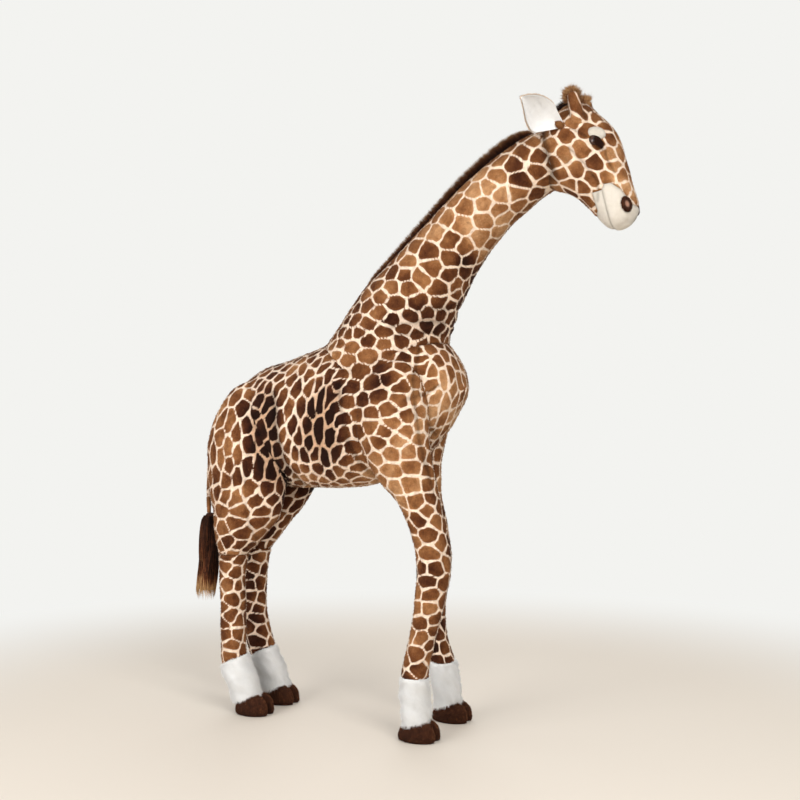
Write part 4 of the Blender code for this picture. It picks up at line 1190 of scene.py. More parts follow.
def use_grain(tree, speckle, clump, strength):
    """The grain group placed in a material with its own values."""
    node = add_node(tree, "ShaderNodeGroup", (-900, -400), node_tree=pile_grain)
    node.inputs["Speckle Scale"].default_value = speckle
    node.inputs["Clump Scale"].default_value = clump
    node.inputs["Strength"].default_value = strength
    return node.outputs["Tint"], node.outputs["Height"]


def add_bump(tree, shader, height, strength, distance):
    """Small relief from a height value."""
    node = add_node(tree, "ShaderNodeBump", (-100, -400))
    node.inputs["Strength"].default_value = strength
    node.inputs["Distance"].default_value = distance
    tree.links.new(height, node.inputs["Height"])
    tree.links.new(node.outputs["Normal"], shader.inputs["Normal"])


def tinted(tree, colour, tint):
    """A colour times a value."""
    node = add_node(tree, "ShaderNodeVectorMath", (-50, 0), operation="SCALE")
    tree.links.new(colour, node.inputs[0])
    tree.links.new(tint, node.inputs["Scale"])
    return node.outputs["Vector"]


def colour_ramp(tree, value, stops):
    """A run of colours over a value."""
    node = add_node(tree, "ShaderNodeValToRGB", (-500, 200))
    ramp = node.color_ramp
    while len(ramp.elements) < len(stops):
        ramp.elements.new(0.5)
    for element, (place, colour) in zip(ramp.elements, stops):
        element.position = place
        element.color = colour
    tree.links.new(value, node.inputs["Fac"])
    return node.outputs["Color"]


# %% Patched plush
line_half_width = 0.0021
line_softness = 0.0010
# The browns run from the deepest painted shade to the palest painted light of the nap, shifted by each
# patch's own tone and a slow random change.
shade_and_tone_darkest = srgb(34, 17, 11)
shade_and_tone_deep = srgb(66, 34, 19)
shade_and_tone_brown = srgb(110, 67, 38)
shade_and_tone_tan = srgb(148, 101, 63)
shade_and_tone_pale = srgb(192, 148, 106)
line_cream = srgb(234, 212, 191)
# The pale lines' colour in deep painted shade.
line_in_shade = srgb(196, 160, 131)


def make_patched_plush():
    """Brown patches by painted nap shade and by tone, pale lines between them that dim in deep painted shade,
    painted shade in folds, seams and hollows and towards the pile's roots, and paler tips of pile.
    """
    mat, tree, shader = new_material("patched_plush", 0.92, sheen=0.03, shine=0.08)
    tint, height = use_grain(tree, 620.0, 120.0, 0.36)
    wander = math_node(tree, "SUBTRACT", noise(tree, 330.0), 0.5)
    edge = math_node(tree, "MULTIPLY_ADD", wander, line_softness * 1.6, attribute(tree, "edge"))
    inside = ease(tree, edge, line_half_width - line_softness, line_half_width + line_softness)
    slow = math_node(tree, "SUBTRACT", noise(tree, 34.0, 4.0), 0.5)
    shade = math_node(tree, "MULTIPLY_ADD", slow, 0.55, attribute(tree, "shade"))
    tone = math_node(tree, "SUBTRACT", attribute(tree, "tone"), 0.5)
    shade = math_node(tree, "MULTIPLY_ADD", tone, 0.26, shade)
    rim = ease(tree, edge, line_half_width, line_half_width + 0.006)
    shade = math_node(tree, "MULTIPLY_ADD", rim, -0.07, shade)
    shade = math_node(tree, "MULTIPLY_ADD", attribute(tree, "tip"), 0.17, shade)
    stops = ((0.10, shade_and_tone_darkest), (0.32, shade_and_tone_deep), (0.52, shade_and_tone_brown), (0.72, shade_and_tone_tan), (0.95, shade_and_tone_pale))
    brown = colour_ramp(tree, shade, stops)
    # Painted shade: the pale lines dim where the nap's painted shade is deep.
    line = mix_colours(tree, ease(tree, attribute(tree, "shade"), 0.02, 0.40), line_in_shade, line_cream)
    colour = mix_colours(tree, inside, line, brown)
    # Painted shade of folds, seams and hollows, and painted shade among the pile, darker towards its roots.
    depth = math_node(tree, "MULTIPLY_ADD", attribute(tree, "fold"), -0.80, 1.0)
    root = math_node(tree, "MULTIPLY_ADD", attribute(tree, "tip"), 0.22, 0.86)
    whole = math_node(tree, "MULTIPLY", math_node(tree, "MULTIPLY", tint, depth), root)
    tree.links.new(tinted(tree, colour, whole), shader.inputs["Base Color"])
    add_bump(tree, shader, height, 0.5, 0.0012)
    return mat


patched_plush = make_patched_plush()

# %% Skins as pieces
skin_tip = 0.35


def skin_values(skin):
    """What a skin's points carry, in the order of its closed mesh's points."""
    values = {}
    for key in ("edge", "tone", "shade", "fold"):
        layer = skin[key]
        padded = np.concatenate([np.repeat(layer[:1], 3, axis=0), layer, np.repeat(layer[-1:], 3, axis=0)])
        values[key] = on_points(padded)
    values["tip"] = np.full(len(values["edge"]), skin_tip)
    return values


def place_piece(piece, body, nodes=()):
    """Rides a finished piece on its body, or for the neck sets its place into its mesh, and hides the
    imported solids that it stands for.
    """
    if body == "neck":
        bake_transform(piece)
    else:
        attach(piece, body)
    if nodes:
        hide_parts(*nodes)
    return piece


end_bulge = {"torso": 0.0035}
for name, skin in skins.items():
    mesh = grid_mesh(name + "_skin", domed(skin["grid"], end_bulge.get(name, 0.002)))
    piece = add_piece(name + "_skin", mesh, patched_plush, skin_values(skin))
    place_piece(piece, "neck" if name == "neck" else "root", (name,))
    print(piece.name, len(mesh.polygons), "faces")

# %% [markdown]
# ## Cutting the snout
# The patched head, the cream upper lip and the cream lower jaw are three pieces of cloth on one shape.
# Cutting the finished head along the seam lines with a Boolean keeps their edges exactly together. A
# colour mask would be quicker, but each cloth is a piece of its own here, as it is on the toy.

# %% Cut the head in three
seam_gap = 0.0004


def side_block(name, corners, grow):
    """A block whose side outline is a polygon, swollen on every side, and wider than the head."""
    ways = np.roll(corners, -1, axis=0) - corners
    ways = ways / np.linalg.norm(ways, axis=1)[:, None]
    outward = np.c_[-ways[:, 1], ways[:, 0]]
    before = np.roll(outward, 1, axis=0)
    flat = corners + grow * (outward + before) / (1 + (outward * before).sum(1))[:, None]
    count = len(flat)
    points = [(x, y, z) for y in (-head_width, head_width) for x, z in flat]
    faces = [tuple(range(count)), tuple(range(2 * count - 1, count - 1, -1))]
    faces += [(i, i + count, (i + 1) % count + count, (i + 1) % count) for i in range(count)]
    mesh = bpy.data.meshes.new(name)
    mesh.from_pydata(points, [], faces)
    mesh.update()
    turned_out(mesh)
    block = bpy.data.objects.new(name, mesh)
    bpy.context.scene.collection.objects.link(block)
    return block


def cut_copy(name, source, cuts):
    """A copy of a mesh with Booleans applied to it."""
    piece = bpy.data.objects.new(name, source)
    bpy.context.scene.collection.objects.link(piece)
    for cutter, operation in cuts:
        modifier = piece.modifiers.new("cut", "BOOLEAN")
        modifier.object = cutter
        modifier.operation = operation
        modifier.solver = "EXACT"
    shown = piece.evaluated_get(bpy.context.evaluated_depsgraph_get())
    mesh = bpy.data.meshes.new_from_object(shown)
    mesh.name = name
    bpy.data.objects.remove(piece)
    return mesh


def mesh_points(mesh):
    """A mesh's points and their normals as arrays."""
    points = np.empty(len(mesh.vertices) * 3, np.float32)
    normals = np.empty(len(mesh.vertices) * 3, np.float32)
    mesh.vertices.foreach_get("co", points)
    mesh.vertex_normals.foreach_get("vector", normals)
    return points.reshape(-1, 3).astype(float), normals.reshape(-1, 3).astype(float)


def head_surface(side, ahead, up):
    """The head skin's point nearest to a place beside the middle plane, and the way it faces."""
    place = np.array((pivot_x + ahead, pivot_height + up))
    gap = np.linalg.norm(head_grid[:, :, (0, 2)] - place, axis=2)
    gap = np.where(np.sign(head_grid[:, :, 1]) == side, gap, np.inf)
    best = np.unravel_index(np.argmin(gap), gap.shape)
    return head_grid[best], head_normal[best]


def ear_root(side):
    """The middle of an ear's sewn root."""
    ahead, aside, up = ear_root_place
    return np.array((pivot_x + ahead, side * aside, pivot_height + up))


eye_radius = 0.0125
ear_root_place = (0.040, 0.058, 0.054)
ear_room = 0.015
eye_ahead = 0.104
eye_up = 0.022
eye_sink_share = 0.45
eye_places = {name: head_surface(side, eye_ahead, eye_up) for name, side in sides.items()}
# Painted shade along the snout's seams, at the neck's end and round each eye.
snout_seam_shade = 0.5
neck_seam_shade = 0.85
neck_seam_width = 0.0065
eye_hollow_shade = 0.75
eye_hollow_radius = eye_radius * 0.95
head_paleness = 0.06


def head_values(points, normals):
    """Patches, painted nap shade and painted shade for any points of the head: shade is painted along the
    folds, the seams' grooves, the crease at the neck's end and round each eye, each as a bell over its
    distance."""
    edge, tone = paint("head", points, normals)
    flat = points[:, (0, 2)]
    dark = np.zeros(len(points))
    for name in folds_of["head"]:
        dark = np.maximum(dark, near_fold(name, flat, normals) * fold_lines[name][3])
    dark = np.maximum(dark, snout_seam_shade * snout_groove(flat))
    from_neck = forms["neck"].distance(points)
    dark = np.maximum(dark, neck_seam_shade * np.exp(-((from_neck / neck_seam_width) ** 2)))
    for place, _ in eye_places.values():
        gap = np.linalg.norm(points - place, axis=1)
        dark = np.maximum(dark, eye_hollow_shade * np.exp(-((gap / eye_hollow_radius) ** 4)))
    return {
        "edge": kept_lines(edge), "tone": tone, "shade": nap_shade(points) + head_paleness, "fold": dark,
        "tip": np.full(len(points), skin_tip),
    }


cream_colour = srgb(208, 201, 190)
cream_shade = srgb(193, 183, 168)


def make_cream_plush(name, pale, dim, sheen=0.05):
    """Short pale plush with a faint grain, with painted shade in its folds and towards the pile's roots."""
    mat, tree, shader = new_material(name, 0.95, sheen=sheen, shine=0.1)
    tint, height = use_grain(tree, 800.0, 150.0, 0.05)
    blotch = ease(tree, noise(tree, 60.0, 3.0), 0.35, 0.75)
    colour = mix_colours(tree, math_node(tree, "MULTIPLY", blotch, 0.35), pale, dim)
    # Painted shade among the pile, darker towards its roots, and in folds, seams and hollows.
    root = math_node(tree, "MULTIPLY_ADD", attribute(tree, "tip"), 0.06, 0.96)
    depth = math_node(tree, "MULTIPLY_ADD", attribute(tree, "fold"), -0.55, 1.0)
    whole = math_node(tree, "MULTIPLY", math_node(tree, "MULTIPLY", tint, depth), root)
    tree.links.new(tinted(tree, colour, whole), shader.inputs["Base Color"])
    add_bump(tree, shader, height, 0.45, 0.0010)
    return mat


cream_plush = make_cream_plush("cream_plush", cream_colour, cream_shade)
white_plush = make_cream_plush("white_plush", srgb(252, 252, 251), srgb(248, 246, 242), 0.30)
ear_plush = make_cream_plush("ear_plush", srgb(234, 234, 234), srgb(226, 224, 221))

head_base = grid_mesh("head_base", domed(head_grid, 0.002))
cutters = {
    "lip": side_block("lip_side", lip_line, 0.0),
    "lip_wide": side_block("lip_wide", lip_line, seam_gap),
    "jaw": side_block("jaw_side", jaw_line, 0.0),
    "jaw_wide": side_block("jaw_wide", jaw_line, seam_gap),
}
snout_cuts = {
    "head": ((("lip_wide", "DIFFERENCE"), ("jaw_wide", "DIFFERENCE")), patched_plush, "patched_plush"),
    "muzzle": ((("lip", "INTERSECT"), ("jaw_wide", "DIFFERENCE")), cream_plush, "cream_plush"),
    "lower_jaw": ((("jaw", "INTERSECT"),), cream_plush, "cream_plush"),
}
for name, (cuts, mat, slot) in snout_cuts.items():
    mesh = cut_copy(name + "_skin", head_base, [(cutters[cutter], operation) for cutter, operation in cuts])
    points, normals = mesh_points(mesh)
    piece = add_piece(name + "_skin", mesh, mat, head_values(points, normals))
    place_piece(piece, "head", (name,))
    print(piece.name, len(mesh.polygons), "faces")
for cutter in cutters.values():
    bpy.data.objects.remove(cutter)

# %% [markdown]
# ## Pile
# Plush is a knitted backing with a pile of short fibres that stand in it and are brushed one way. Real
# fibres are far too many, so each strand here stands for a lock of them: a closed spike of four faces
# whose root sits in the skin and whose tip leans along the nap. Each carries its root's colour values.
# Blender's hair would render well too, but it isn't a mesh, so it would be lost in the exported model.

# %% Strand meshes
def read_grid(layer, pick, weights):
    """A grid layer read between its points: the four corners of a cell, each by its weight."""
    i, j, after = pick
    corners = (layer[i, j], layer[i, after], layer[i + 1, after], layer[i + 1, j])
    return sum(c * (w[:, None] if c.ndim == 2 else w) for c, w in zip(corners, weights))


def scatter(grid, keep, count, draw):
    """Random cells, the larger the likelier, with a random place inside each."""
    after = np.roll(grid, -1, axis=1)
    diagonals = np.cross(after[1:] - grid[:-1], grid[1:] - after[:-1])
    whole = keep & np.roll(keep, -1, axis=1)
    area = np.linalg.norm(diagonals, axis=2) * (whole[:-1] & whole[1:])
    run = np.cumsum(area.ravel())
    cell = np.minimum(np.searchsorted(run, draw.random(count) * run[-1]), area.size - 1)
    i, j = np.divmod(cell, grid.shape[1])
    s, t = draw.random((2, count))
    weights = ((1 - s) * (1 - t), s * (1 - t), s * t, (1 - s) * t)
    return (i, j, (j + 1) % grid.shape[1]), weights


def unit(vectors):
    """Vectors divided by their lengths."""
    return vectors / np.maximum(np.linalg.norm(vectors, axis=-1, keepdims=True), 1e-12)


def hair_mesh(name, paths, widths, facing):
    """Closed three-sided hairs. Each row of a path but the last has three points, a third of a turn
    apart, at a half width that falls as one less the square of the share of the way; the last row is
    the tip. The shading normals follow the skin, so that the pile is lit as one soft surface."""
    count, rows, _ = paths.shape
    way = unit(np.gradient(paths, axis=1))
    first = unit(np.cross(way, facing[:, None, :] + 0.01))
    second = np.cross(way, first)
    turn = 2 * math.pi * np.arange(3)[:, None] / 3
    thin = (1 - np.linspace(0.0, 1.0, rows) ** 2)[None, :, None, None] * widths[:, None, None, None] / 2
    ring = paths[:, :, None] + thin * (first[:, :, None] * np.cos(turn) + second[:, :, None] * np.sin(turn))
    points = np.concatenate([ring[:, :-1].reshape(count, -1, 3), paths[:, -1:]], axis=1)
    tip, last = 3 * (rows - 1), 3 * (rows - 2)
    pattern = [(0, 2, 1)] + [(last + k, last + (k + 1) % 3, tip) for k in range(3)]
    for row in range(0, last, 3):
        for k in range(3):
            a, b = row + k, row + (k + 1) % 3
            pattern += [(a, b, b + 3), (a, b + 3, a + 3)]
    triangles = (np.arange(count)[:, None, None] * (tip + 1) + np.array(pattern)).reshape(-1, 3)
    place = [(0.1 + 0.4 * k, 0.1 + 0.8 * r / (rows - 1)) for r in range(rows - 1) for k in range(3)]
    corner = np.array(place + [(0.5, 0.9)])[np.array(pattern)]
    corner[0, :, 1] = (0.02, 0.02, 0.08)
    columns = int(math.ceil(math.sqrt(count)))
    cell = np.stack(np.divmod(np.arange(count), columns)[::-1], axis=1)[:, None, None, :]
    uv = ((cell + corner) / columns).reshape(-1, 3, 2)
    mesh = fill_mesh(name, points.reshape(-1, 3), np.zeros((0, 4), int), triangles, np.zeros((0, 4, 2)), uv)
    shading = unit(facing + 0.35 * way.mean(1))
    mesh.normals_split_custom_set_from_vertices(np.repeat(shading, tip + 1, axis=0).astype(np.float32))
    return mesh


def make_hair(name, paths, widths, facing, mat, values):
    """A piece of hairs. Each value is carried by a whole hair, and "tip" runs from 0 to 1 along it."""
    rows = paths.shape[1]
    mesh = hair_mesh(name, paths, widths, facing)
    along = np.r_[np.repeat(np.arange(rows - 1) / (rows - 1), 3), 1.0]
    carried = {}
    for key, value in values.items():
        carried[key] = np.repeat(np.broadcast_to(value, len(paths)), len(along))
    carried["tip"] = np.tile(along, len(paths))
    return add_piece(name, mesh, mat, carried)


strand_share = 1.0
most_strands = 45000
floor_clearance = 0.0003
middle_share = 0.5


def grow_pile(name, grid, normal, layers, keep, nap, strands, mat, seed, rise=0.70, paint_as=None):
    """Strands over a grid, given as their count, length and width. Each way is the normal by its rise
    plus the nap along the surface, bent by slow waves that make locks. With a skin's name to paint as, a
    strand takes the pattern that lies at its middle, as printed pile does. Gives one piece, or several
    where there are many strands."""
    draw = np.random.default_rng(seed)
    count, length, width = strands
    count = int(count * strand_share)
    pick, weights = scatter(grid, keep, count, draw)
    roots = read_grid(grid, pick, weights)
    facing = unit(read_grid(normal, pick, weights))
    nap = np.broadcast_to(np.asarray(nap, float), roots.shape)
    lie = unit(nap - facing * (nap * facing).sum(1, keepdims=True))
    lock = np.sin(roots @ np.array(((420.0, 130.0, 210.0), (170.0, 390.0, 140.0), (260.0, 190.0, 450.0))))
    ways = unit(facing * rise + lie + 0.22 * lock + draw.normal(0.0, 0.16, roots.shape))
    ways = np.where(((ways * facing).sum(1) < 0.12)[:, None], unit(ways + facing * 0.4), ways)
    lengths = length * draw.uniform(0.70, 1.20, count)
    widths = width * draw.uniform(0.7, 1.2, count)
    values = {key: read_grid(layer, pick, weights) for key, layer in layers.items()}
    if paint_as:
        middles = roots + ways * (lengths * middle_share)[:, None]
        values["edge"], values["tone"] = paint(paint_as, middles, facing)
    values["tone"] = values.get("tone", 0.5) + draw.normal(0.0, 0.22, count)
    paths = np.stack([roots - facing * 0.0005, roots + ways * lengths[:, None]], axis=1)
    paths[:, :, 2] = np.maximum(paths[:, :, 2], floor_clearance)
    parts = np.array_split(np.arange(count), count // most_strands + 1)
    pieces = []
    for number, part in enumerate(parts):
        label = name if len(parts) == 1 else f"{name}_{number + 1}"
        own = {key: value[part] for key, value in values.items()}
        pieces.append(make_hair(label, paths[part], widths[part], facing[part], mat, own))
    return pieces


def dress(body, slot, *pile, **settings):
    """Grows a pile and rides its pieces on a body. Gives the number of its strands."""
    pieces = grow_pile(*pile, **settings)
    for piece in pieces:
        place_piece(piece, body)
    return sum(len(piece.data.polygons) // 4 for piece in pieces)


# %% Pile on the patched skins
pile_length = 0.0036
pile_width = 0.0015
pile_spacing = 0.00260
pile_per_area = 1.0 / pile_spacing**2
naps = {
    "torso": (-0.75, 0.0, -0.65),
    "neck": (-0.35, 0.0, -0.94),
    "fore": (-0.10, 0.0, -1.0),
    "hind": (-0.25, 0.0, -0.97),
}
strand_total = 0


def showing_area(grid, keep):
    """The area of the cells that show, each half the cross product of its diagonals."""
    after = np.roll(grid, -1, axis=1)
    diagonals = np.cross(after[1:] - grid[:-1], grid[1:] - after[:-1])
    return float((np.linalg.norm(diagonals, axis=2) * keep[:-1]).sum() / 2)


for number, (name, skin) in enumerate(skins.items()):
    layers = {key: skin[key] for key in ("edge", "tone", "shade", "fold")}
    count = showing_area(skin["grid"], skin["showing"]) * pile_per_area
    strand_total += dress(
        "neck" if name == "neck" else "root", "patched_plush", name + "_pile", skin["grid"], skin["normal"],
        layers, skin["showing"], naps[skin["family"]], (count, pile_length, pile_width), patched_plush,
        100 + number, paint_as=name,
    )
print(strand_total, "strands on the body")

# %% Pile on the head and snout
def inside_line(flat, corners):
    """Whether points of the side view lie inside a polygon: an upward ray crosses its sides an odd
    number of times."""
    inside = np.zeros(len(flat), bool)
    for start, end in zip(corners, np.roll(corners, -1, axis=0)):
        spans = (start[0] <= flat[:, 0]) != (end[0] <= flat[:, 0])
        height = start[1] + (flat[:, 0] - start[0]) * (end[1] - start[1]) / (end[0] - start[0] + 1e-12)
        inside ^= spans & (flat[:, 1] < height)
    return inside


head_shape = head_grid.shape[:2]
in_lip = inside_line(flat_head, lip_line).reshape(head_shape)
in_jaw = inside_line(flat_head, jaw_line).reshape(head_shape) & ~in_lip
outside_neck = (forms["neck"].distance(head_grid.reshape(-1, 3)) > -0.004).reshape(head_shape)
from_ears = np.min([np.linalg.norm(head_grid - ear_root(side), axis=2) for side in sides.values()], axis=0)
from_eyes = np.min([np.linalg.norm(head_grid - place, axis=2) for place, _ in eye_places.values()], axis=0)
head_layers = {key: value.reshape(head_shape) for key, value in
               head_values(head_grid.reshape(-1, 3), head_normal.reshape(-1, 3)).items() if key != "tip"}
head_nap = (-0.45, 0.0, 0.75)
in_patches = ~in_lip & ~in_jaw & outside_neck & (from_eyes > eye_radius * 0.9) & (from_ears > ear_room)
head_piles = (
    ("head_pile", in_patches, (22000, 0.0033, 0.0012), patched_plush, "patched_plush", 0.7, "head"),
    ("muzzle_pile", in_lip, (7500, 0.0019, 0.0010), cream_plush, "cream_plush", 0.4, None),
    ("lower_jaw_pile", in_jaw, (5000, 0.0019, 0.0009), cream_plush, "cream_plush", 0.4, None),
)
for number, (name, keep, strands, mat, slot, rise, paint_as) in enumerate(head_piles):
    dress("head", slot, name, head_grid, head_normal, head_layers, keep, head_nap, strands, mat,
          200 + number, rise, paint_as)
print("head and snout have their pile")

# %% [markdown]
# ## Socks and hooves
# The socks are white plush with a longer pile than the body, so they look a little wider than the leg.
# The hooves are dark plush over a flat sole. A hoof is cloven: two round toes with a cleft between them.
# The cleft could be cut with a Boolean, but pressing it in as a bell keeps one smooth skin for the pile.

# %% Socks
def flat_layers(grid):
    """Even values for a plush without patches."""
    shape = grid.shape[:2]
    return {"tone": np.full(shape, 0.5), "shade": np.full(shape, 0.5), "fold": np.zeros(shape)}


def plain_skin(name, grid, mat, bulge=0.002):
    """A closed skin without patches, from an open grid."""
    mesh = grid_mesh(name, domed(grid, bulge))
    even = {"tone": 0.5, "shade": 0.5, "fold": 0.0, "tip": skin_tip}
    return add_piece(name, mesh, mat, {key: np.full(len(mesh.vertices), v) for key, v in even.items()})


sock_lump = 0.0018
sock_room = 0.0010
sock_ankle = 0.0030
for number, (leg_name, course) in enumerate(leg_courses.items()):
    fore = leg_name.startswith("fore")
    top, slope = (fore_sock_top, 0.0) if fore else (hind_sock_top, hind_sock_slope)
    stations = leg_stations(course, hoof_height - 0.004, top + 0.002, hoof_slope, slope, sock_pile * 0.4)
    grid = skin_grid(tucked(stations, reach=0.005, depth=0.004), 64)
    points = grid.reshape(-1, 3)
    down = 1.0 - rise_between(points[:, 2], hoof_height, top)
    lumps = np.sin(points[:, 2] * 120.0 + points[:, 0] * 60.0 + number)
    lumps = lumps * np.sin(points[:, 1] * 90.0 + points[:, 2] * 40.0)
    swell = sock_lump * lumps - sock_room - sock_ankle * down
    grid = grid + grid_normals(grid) * swell.reshape(grid.shape[:2])[:, :, None]
    skin = plain_skin("sock_" + leg_name + "_skin", grid, white_plush)
    place_piece(skin, "root", ("sock_" + leg_name,))
    keep = np.full(grid.shape[:2], True)
    dress("root", "white_plush", "sock_" + leg_name + "_pile", grid, grid_normals(grid), flat_layers(grid),
          keep, (0.0, 0.0, -1.0), (9500, 0.0092, 0.0014), white_plush, 300 + number, rise=0.80)
print("socks made")

# %% Dark pile
pile_black = srgb(26, 15, 11)
pile_brown = srgb(66, 37, 24)
pile_red = srgb(112, 63, 38)
pile_gold = srgb(196, 152, 104)
nostril_rose = srgb(150, 112, 94)


def make_dark_pile():
    """Dark brown fibres: nearly black at the root, warmer towards the tip, each with its own tone."""
    mat, tree, shader = new_material("dark_pile", 0.85, shine=0.12)
    tint, height = use_grain(tree, 900.0, 160.0, 0.25)
    value = math_node(tree, "MULTIPLY_ADD", attribute(tree, "tone"), 0.35, attribute(tree, "shade"))
    value = math_node(tree, "MULTIPLY_ADD", attribute(tree, "tip"), 0.34, value)
    value = math_node(tree, "MULTIPLY_ADD", noise(tree, 95.0, 3.0), 0.30, value)
    ends = math_node(tree, "POWER", attribute(tree, "tip"), 2.0)
    ends = math_node(tree, "MULTIPLY", ends, attribute(tree, "gold"))
    value = math_node(tree, "ADD", value, ends)
    stops = ((0.62, pile_black), (0.86, pile_brown), (1.0, pile_red))
    brown = colour_ramp(tree, math_node(tree, "MULTIPLY", value, 0.85), stops)
    gold = ease(tree, value, 1.16, 1.55)
    colour = mix_colours(tree, gold, brown, pile_gold)
    colour = mix_colours(tree, attribute(tree, "edge"), colour, nostril_rose)
    tree.links.new(tinted(tree, colour, tint), shader.inputs["Base Color"])
    add_bump(tree, shader, height, 0.5, 0.0010)
    return mat


dark_pile = make_dark_pile()

# %% Hooves
hoof_shares = (
    (0.00, 0.90, 0.92, 0.00),
    (0.14, 0.99, 1.00, 0.00),
    (0.42, 0.99, 1.00, -0.01),
    (0.65, 0.93, 0.96, -0.02),
    (0.85, 0.82, 0.89, -0.05),
    (1.00, 0.69, 0.82, -0.08),
)
hoof_around = 160
hoof_pile_room = 0.0012


def hoof_grid(course, foot_x):
    """A flat-soled hoof. Its ovals rise with a slope to the front, and a cleft draws the toe back by
    its depth times a bell over the distance from the hoof's middle plane."""
    rows = smooth_rows(hoof_shares, 26)
    heights = rows[:, 0] * hoof_height
    slopes = rows[:, 0] * hoof_slope
    leg_x = float(np.interp(hoof_height, course[:, 0], course[:, 1]))
    x = foot_x + hoof_forward + rows[:, 3] * hoof_length
    half_length = rows[:, 1] * hoof_length / 2 - hoof_pile_room
    half_width = rows[:, 2] * hoof_width / 2 - hoof_pile_room
    y = np.full(len(rows), course[0, 4])
    back, toe = x - half_length, x + half_length
    back_z, toe_z = (heights + slopes * (end - leg_x) for end in (back, toe))
    grid = ring_grid(np.c_[back, back_z, toe, toe_z, half_width, y], hoof_around)
    aside = grid[:, :, 1] - course[0, 4]
    front = np.clip((grid[:, :, 0] - x[:, None]) / half_length[:, None], 0.0, 1.0)
    depth = cleft_depth * 0.85 * np.exp(-np.abs(aside / (cleft_width * 1.15)) ** 1.7) * front**0.5
    grid[:, :, 0] -= depth
    grid[:, :, 2] -= depth * slopes[:, None]
    return grid


for number, (leg_name, course) in enumerate(leg_courses.items()):
    foot = (wheelbase / 2 if leg_name.startswith("fore") else -wheelbase / 2) - origin_ahead
    grid = hoof_grid(course, foot)
    rim = grid[-1]
    middle = rim.mean(0)
    lids = [middle + (rim - middle) * s + np.array((0.0, 0.0, 0.006 * (1 - s))) for s in (0.93, 0.80, 0.6)]
    grid = np.concatenate([grid, np.stack(lids)])
    skin = plain_skin("hoof_" + leg_name + "_skin", grid, dark_pile, 0.0)
    place_piece(skin, "root", ("hoof_" + leg_name,))
    normal = grid_normals(grid)
    keep = np.full(grid.shape[:2], True)
    keep[:2] = False
    layers = flat_layers(grid)
    # Painted light: the hoof's pile is paler where it faces up and to the front, towards the lamps.
    layers["shade"] = 0.37 + 0.16 * normal[:, :, 2] + 0.12 * np.clip(normal[:, :, 0], 0.0, 1.0)
    layers["gold"] = np.full(grid.shape[:2], 0.14)
    dress("root", "dark_pile", "hoof_" + leg_name + "_pile", grid, normal, layers, keep, (0.3, 0.0, -1.0),
          (7500, 0.0040, 0.0013), dark_pile, 330 + number, rise=1.2)
print("hooves made")

# %% [markdown]
# ## Eyes, lids, lashes and nostrils
# Each eye is a glossy plastic dome on a stem, locked by a washer inside the head. A cream half-round
# pad of plush lies over it as a lid, and dark lashes hang from the lid's front. The nostrils are dark,
# fuzzy ovals with a paler hollow. The lid is an egg-shaped pad whose points are pushed out of the
# eyeball, so it wraps over the ball like real cloth; a simulation would give much the same shape.

# %% Egg shapes
def egg_grid(centre, frame, sizes, rows, around):
    """A closed ball grid stretched by three sizes along three ways; its poles lie on the third."""
    up = np.linspace(0.0, math.pi, rows)[:, None]
    turn = np.linspace(0.0, 2 * math.pi, around, endpoint=False)[None]
    parts = (np.sin(up) * np.cos(turn), np.sin(up) * np.sin(turn), np.cos(up) + 0.0 * turn)
    return centre + sum(p[:, :, None] * np.asarray(w) * s for p, w, s in zip(parts, frame, sizes))


def egg_piece(name, grid, mat, **values):
    """A closed grid as a piece, with a value for each of its points or one for all."""
    mesh = grid_mesh(name, grid)
    shape = grid.shape[:2]
    layers = {"tone": 0.5, "shade": 0.5, "fold": 0.0, "tip": skin_tip, **values}
    carried = {key: on_points(np.broadcast_to(value, shape)) for key, value in layers.items()}
    return add_piece(name, mesh, mat, carried)


def frame_about(way, up=(0.0, 0.0, 1.0)):
    """Three square ways, the third along a given one."""
    third = unit(np.asarray(way, float))
    first = unit(np.cross(third, up))
    return first, np.cross(third, first), third


# %% Eye plastic
def make_eye_plastic():
    """Dark brown plastic with a black pupil: "tone" is 1 where the eye looks out and falls off."""
    mat, tree, shader = new_material("eye_plastic", 0.13, shine=0.4)
    gaze = attribute(tree, "tone")
    iris = mix_colours(tree, ease(tree, gaze, 0.30, 0.62), srgb(14, 8, 6), srgb(56, 28, 15))
    colour = mix_colours(tree, ease(tree, gaze, 0.82, 0.86), iris, srgb(8, 6, 6))
    tree.links.new(colour, shader.inputs["Base Color"])
    shader.inputs["Coat Weight"].default_value = 0.2
    return mat


eye_plastic = make_eye_plastic()
lash_colour = make_cream_plush("lash_fibre", srgb(52, 29, 20), srgb(22, 12, 9))

# %% Eyes and lids
lid_half_sizes = (0.0176, 0.0126, 0.0085)
lid_cloth = 0.0013
lid_up_share = 1.20
lid_out_share = 0.30
lash_count = 760

